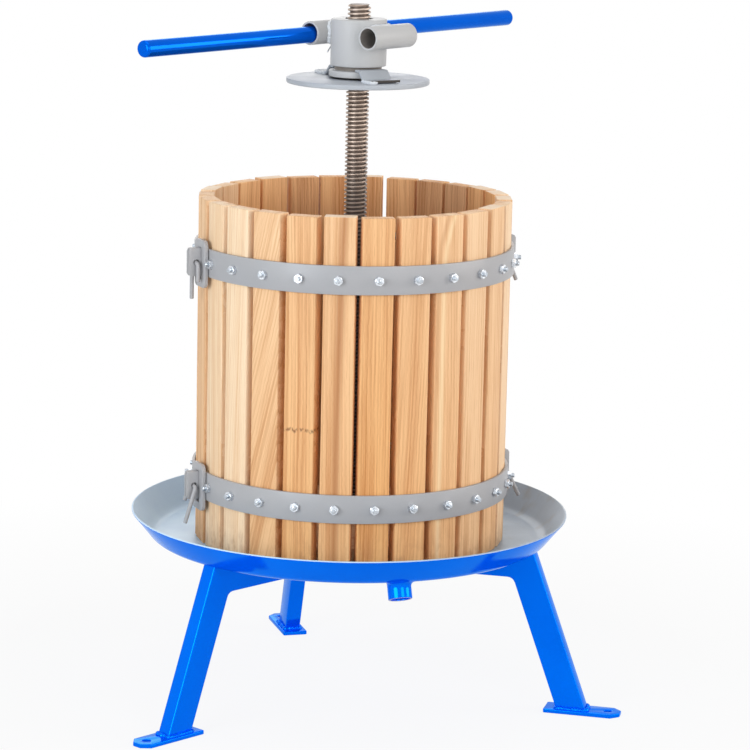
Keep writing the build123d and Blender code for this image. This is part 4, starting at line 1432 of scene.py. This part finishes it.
def add_boards():
    "Two half-moon boards with a notch each for the spindle"
    outer = STAVE_INNER_R - BOARD_SIDE_PLAY
    notch = SPINDLE_R + BOARD_NOTCH_PLAY
    big = math.asin(BOARD_SPLIT / 2 / outer)
    small = math.asin(BOARD_SPLIT / 2 / notch)
    outline = arc(outer, math.pi + big, 2 * math.pi - big, 64)
    outline += arc(notch, 2 * math.pi - small, math.pi + small, 24)
    bm = bmesh.new()
    for turn in (0, 180):
        slab(bm, [outline], FLOOR_Z + BOARD_LIFT, FLOOR_Z + BOARD_T, BOARD_EDGE, in_basket(turn))
    piece = add_piece("half_moon_boards", bm, "stand", [WOOD], ["press_boards"], sharp=40)
    lay = turned(90, "Y") @ in_basket(0).inverted()
    add_grain(piece, lay, seed=77, tilt=0.0, tone=0.5, inner_tone=0.5)


# Stage, light and camera
FLOOR_HALF = 9.0
FLOOR_DROP = 0.0004
FLOOR_COLOUR = (0.72, 0.72, 0.72, 1)
FLOOR_WHITE = 0.90
SHADOW_REACH = 0.5
SHADOW_END = 1.1
AMBIENT = 0.35
MIDDLE = Vector((0.0, 0.0, 0.42))
COOL = (0.90, 0.96, 1.0)
PLAIN = (1.0, 1.0, 1.0)
WARM = (1.0, 0.97, 0.93)
CAMERA_AZIMUTH = -15.5
CAMERA_DISTANCE = 3.8663
CAMERA_HEIGHT = 1.1696
CAMERA_PITCH = 11.18
CAMERA_YAW = 0.423
CAMERA_ROLL = 1.25
CAMERA_LENS = 153.0
CAMERA_SENSOR = 36.0


def add_floor():
    bm = bmesh.new()
    bmesh.ops.create_grid(bm, x_segments=8, y_segments=8, size=FLOOR_HALF)
    floor = new_object("floor", to_mesh("floor", bm))
    floor.location.z = -FLOOR_DROP
    s = Shader("floor", Base_Color=FLOOR_COLOUR, Roughness=0.9, Specular_IOR_Level=0.0)
    white = s.spread(s.length(s.place()), SHADOW_REACH, SHADOW_END, FLOOR_WHITE, 1.0)
    share = s.times(s.seen_directly(), white)
    s.show_mixed("Material Output", share, s.bsdf, s.add("Emission", {"Color": WHITE}))
    floor.data.materials.append(s.material)


def add_world():
    world = bpy.data.worlds.new("studio")
    bpy.context.scene.world = world
    world.use_nodes = True
    s = Nodes(world.node_tree)
    ambient = s.tree.nodes["Background"]
    s.plug(ambient.inputs["Color"], WHITE)
    s.plug(ambient.inputs["Strength"], AMBIENT)
    white = s.add("Background", {"Color": WHITE, "Strength": 1.0})
    s.show_mixed("World Output", s.seen_directly(), ambient, white)


def add_light(name, place, size, power, colour):
    lamp = bpy.data.lights.new(name, "AREA")
    lamp.shape = "DISK"
    lamp.size = size
    lamp.energy = power
    lamp.color = colour
    light = new_object(name, lamp)
    light.location = place
    light.rotation_euler = (MIDDLE - Vector(place)).to_track_quat("-Z", "Y").to_euler()


def add_camera():
    "The camera that the photo's pan, basket, bands, plate and feet fit"
    data = bpy.data.cameras.new("camera")
    data.lens = CAMERA_LENS
    data.sensor_width = CAMERA_SENSOR
    camera = new_object("camera", data)
    facing = turned(-CAMERA_YAW, "Z") @ turned(90 - CAMERA_PITCH, "X") @ turned(CAMERA_ROLL, "Z")
    camera.matrix_world = turned(CAMERA_AZIMUTH, "Z") @ moved(0, -CAMERA_DISTANCE, CAMERA_HEIGHT) @ facing
    bpy.context.scene.camera = camera


add_staves()
add_bands()
add_fasteners()
add_latches()
add_pan()
add_spout()
add_stand()
add_anchor()
add_spindle()
add_hub()
add_sockets()
add_bar()
add_split_pin()
add_plate()
add_retainers()
add_boards()
add_floor()
add_world()
add_light("left_softbox", (-2.8, -2.0, 1.2), 2.2, 72.0, COOL)
add_light("right_softbox", (2.9, -1.2, 1.3), 2.0, 46.0, WARM)
add_light("front_softbox", (0.7, -3.4, 1.5), 1.6, 22.0, PLAIN)
add_light("top_softbox", (-0.3, -0.3, 3.2), 2.4, 17.0, PLAIN)
add_light("rear_softbox", (0.4, 3.0, 1.8), 2.0, 16.0, PLAIN)
add_camera()
bpy.context.scene.view_settings.view_transform = "Standard"
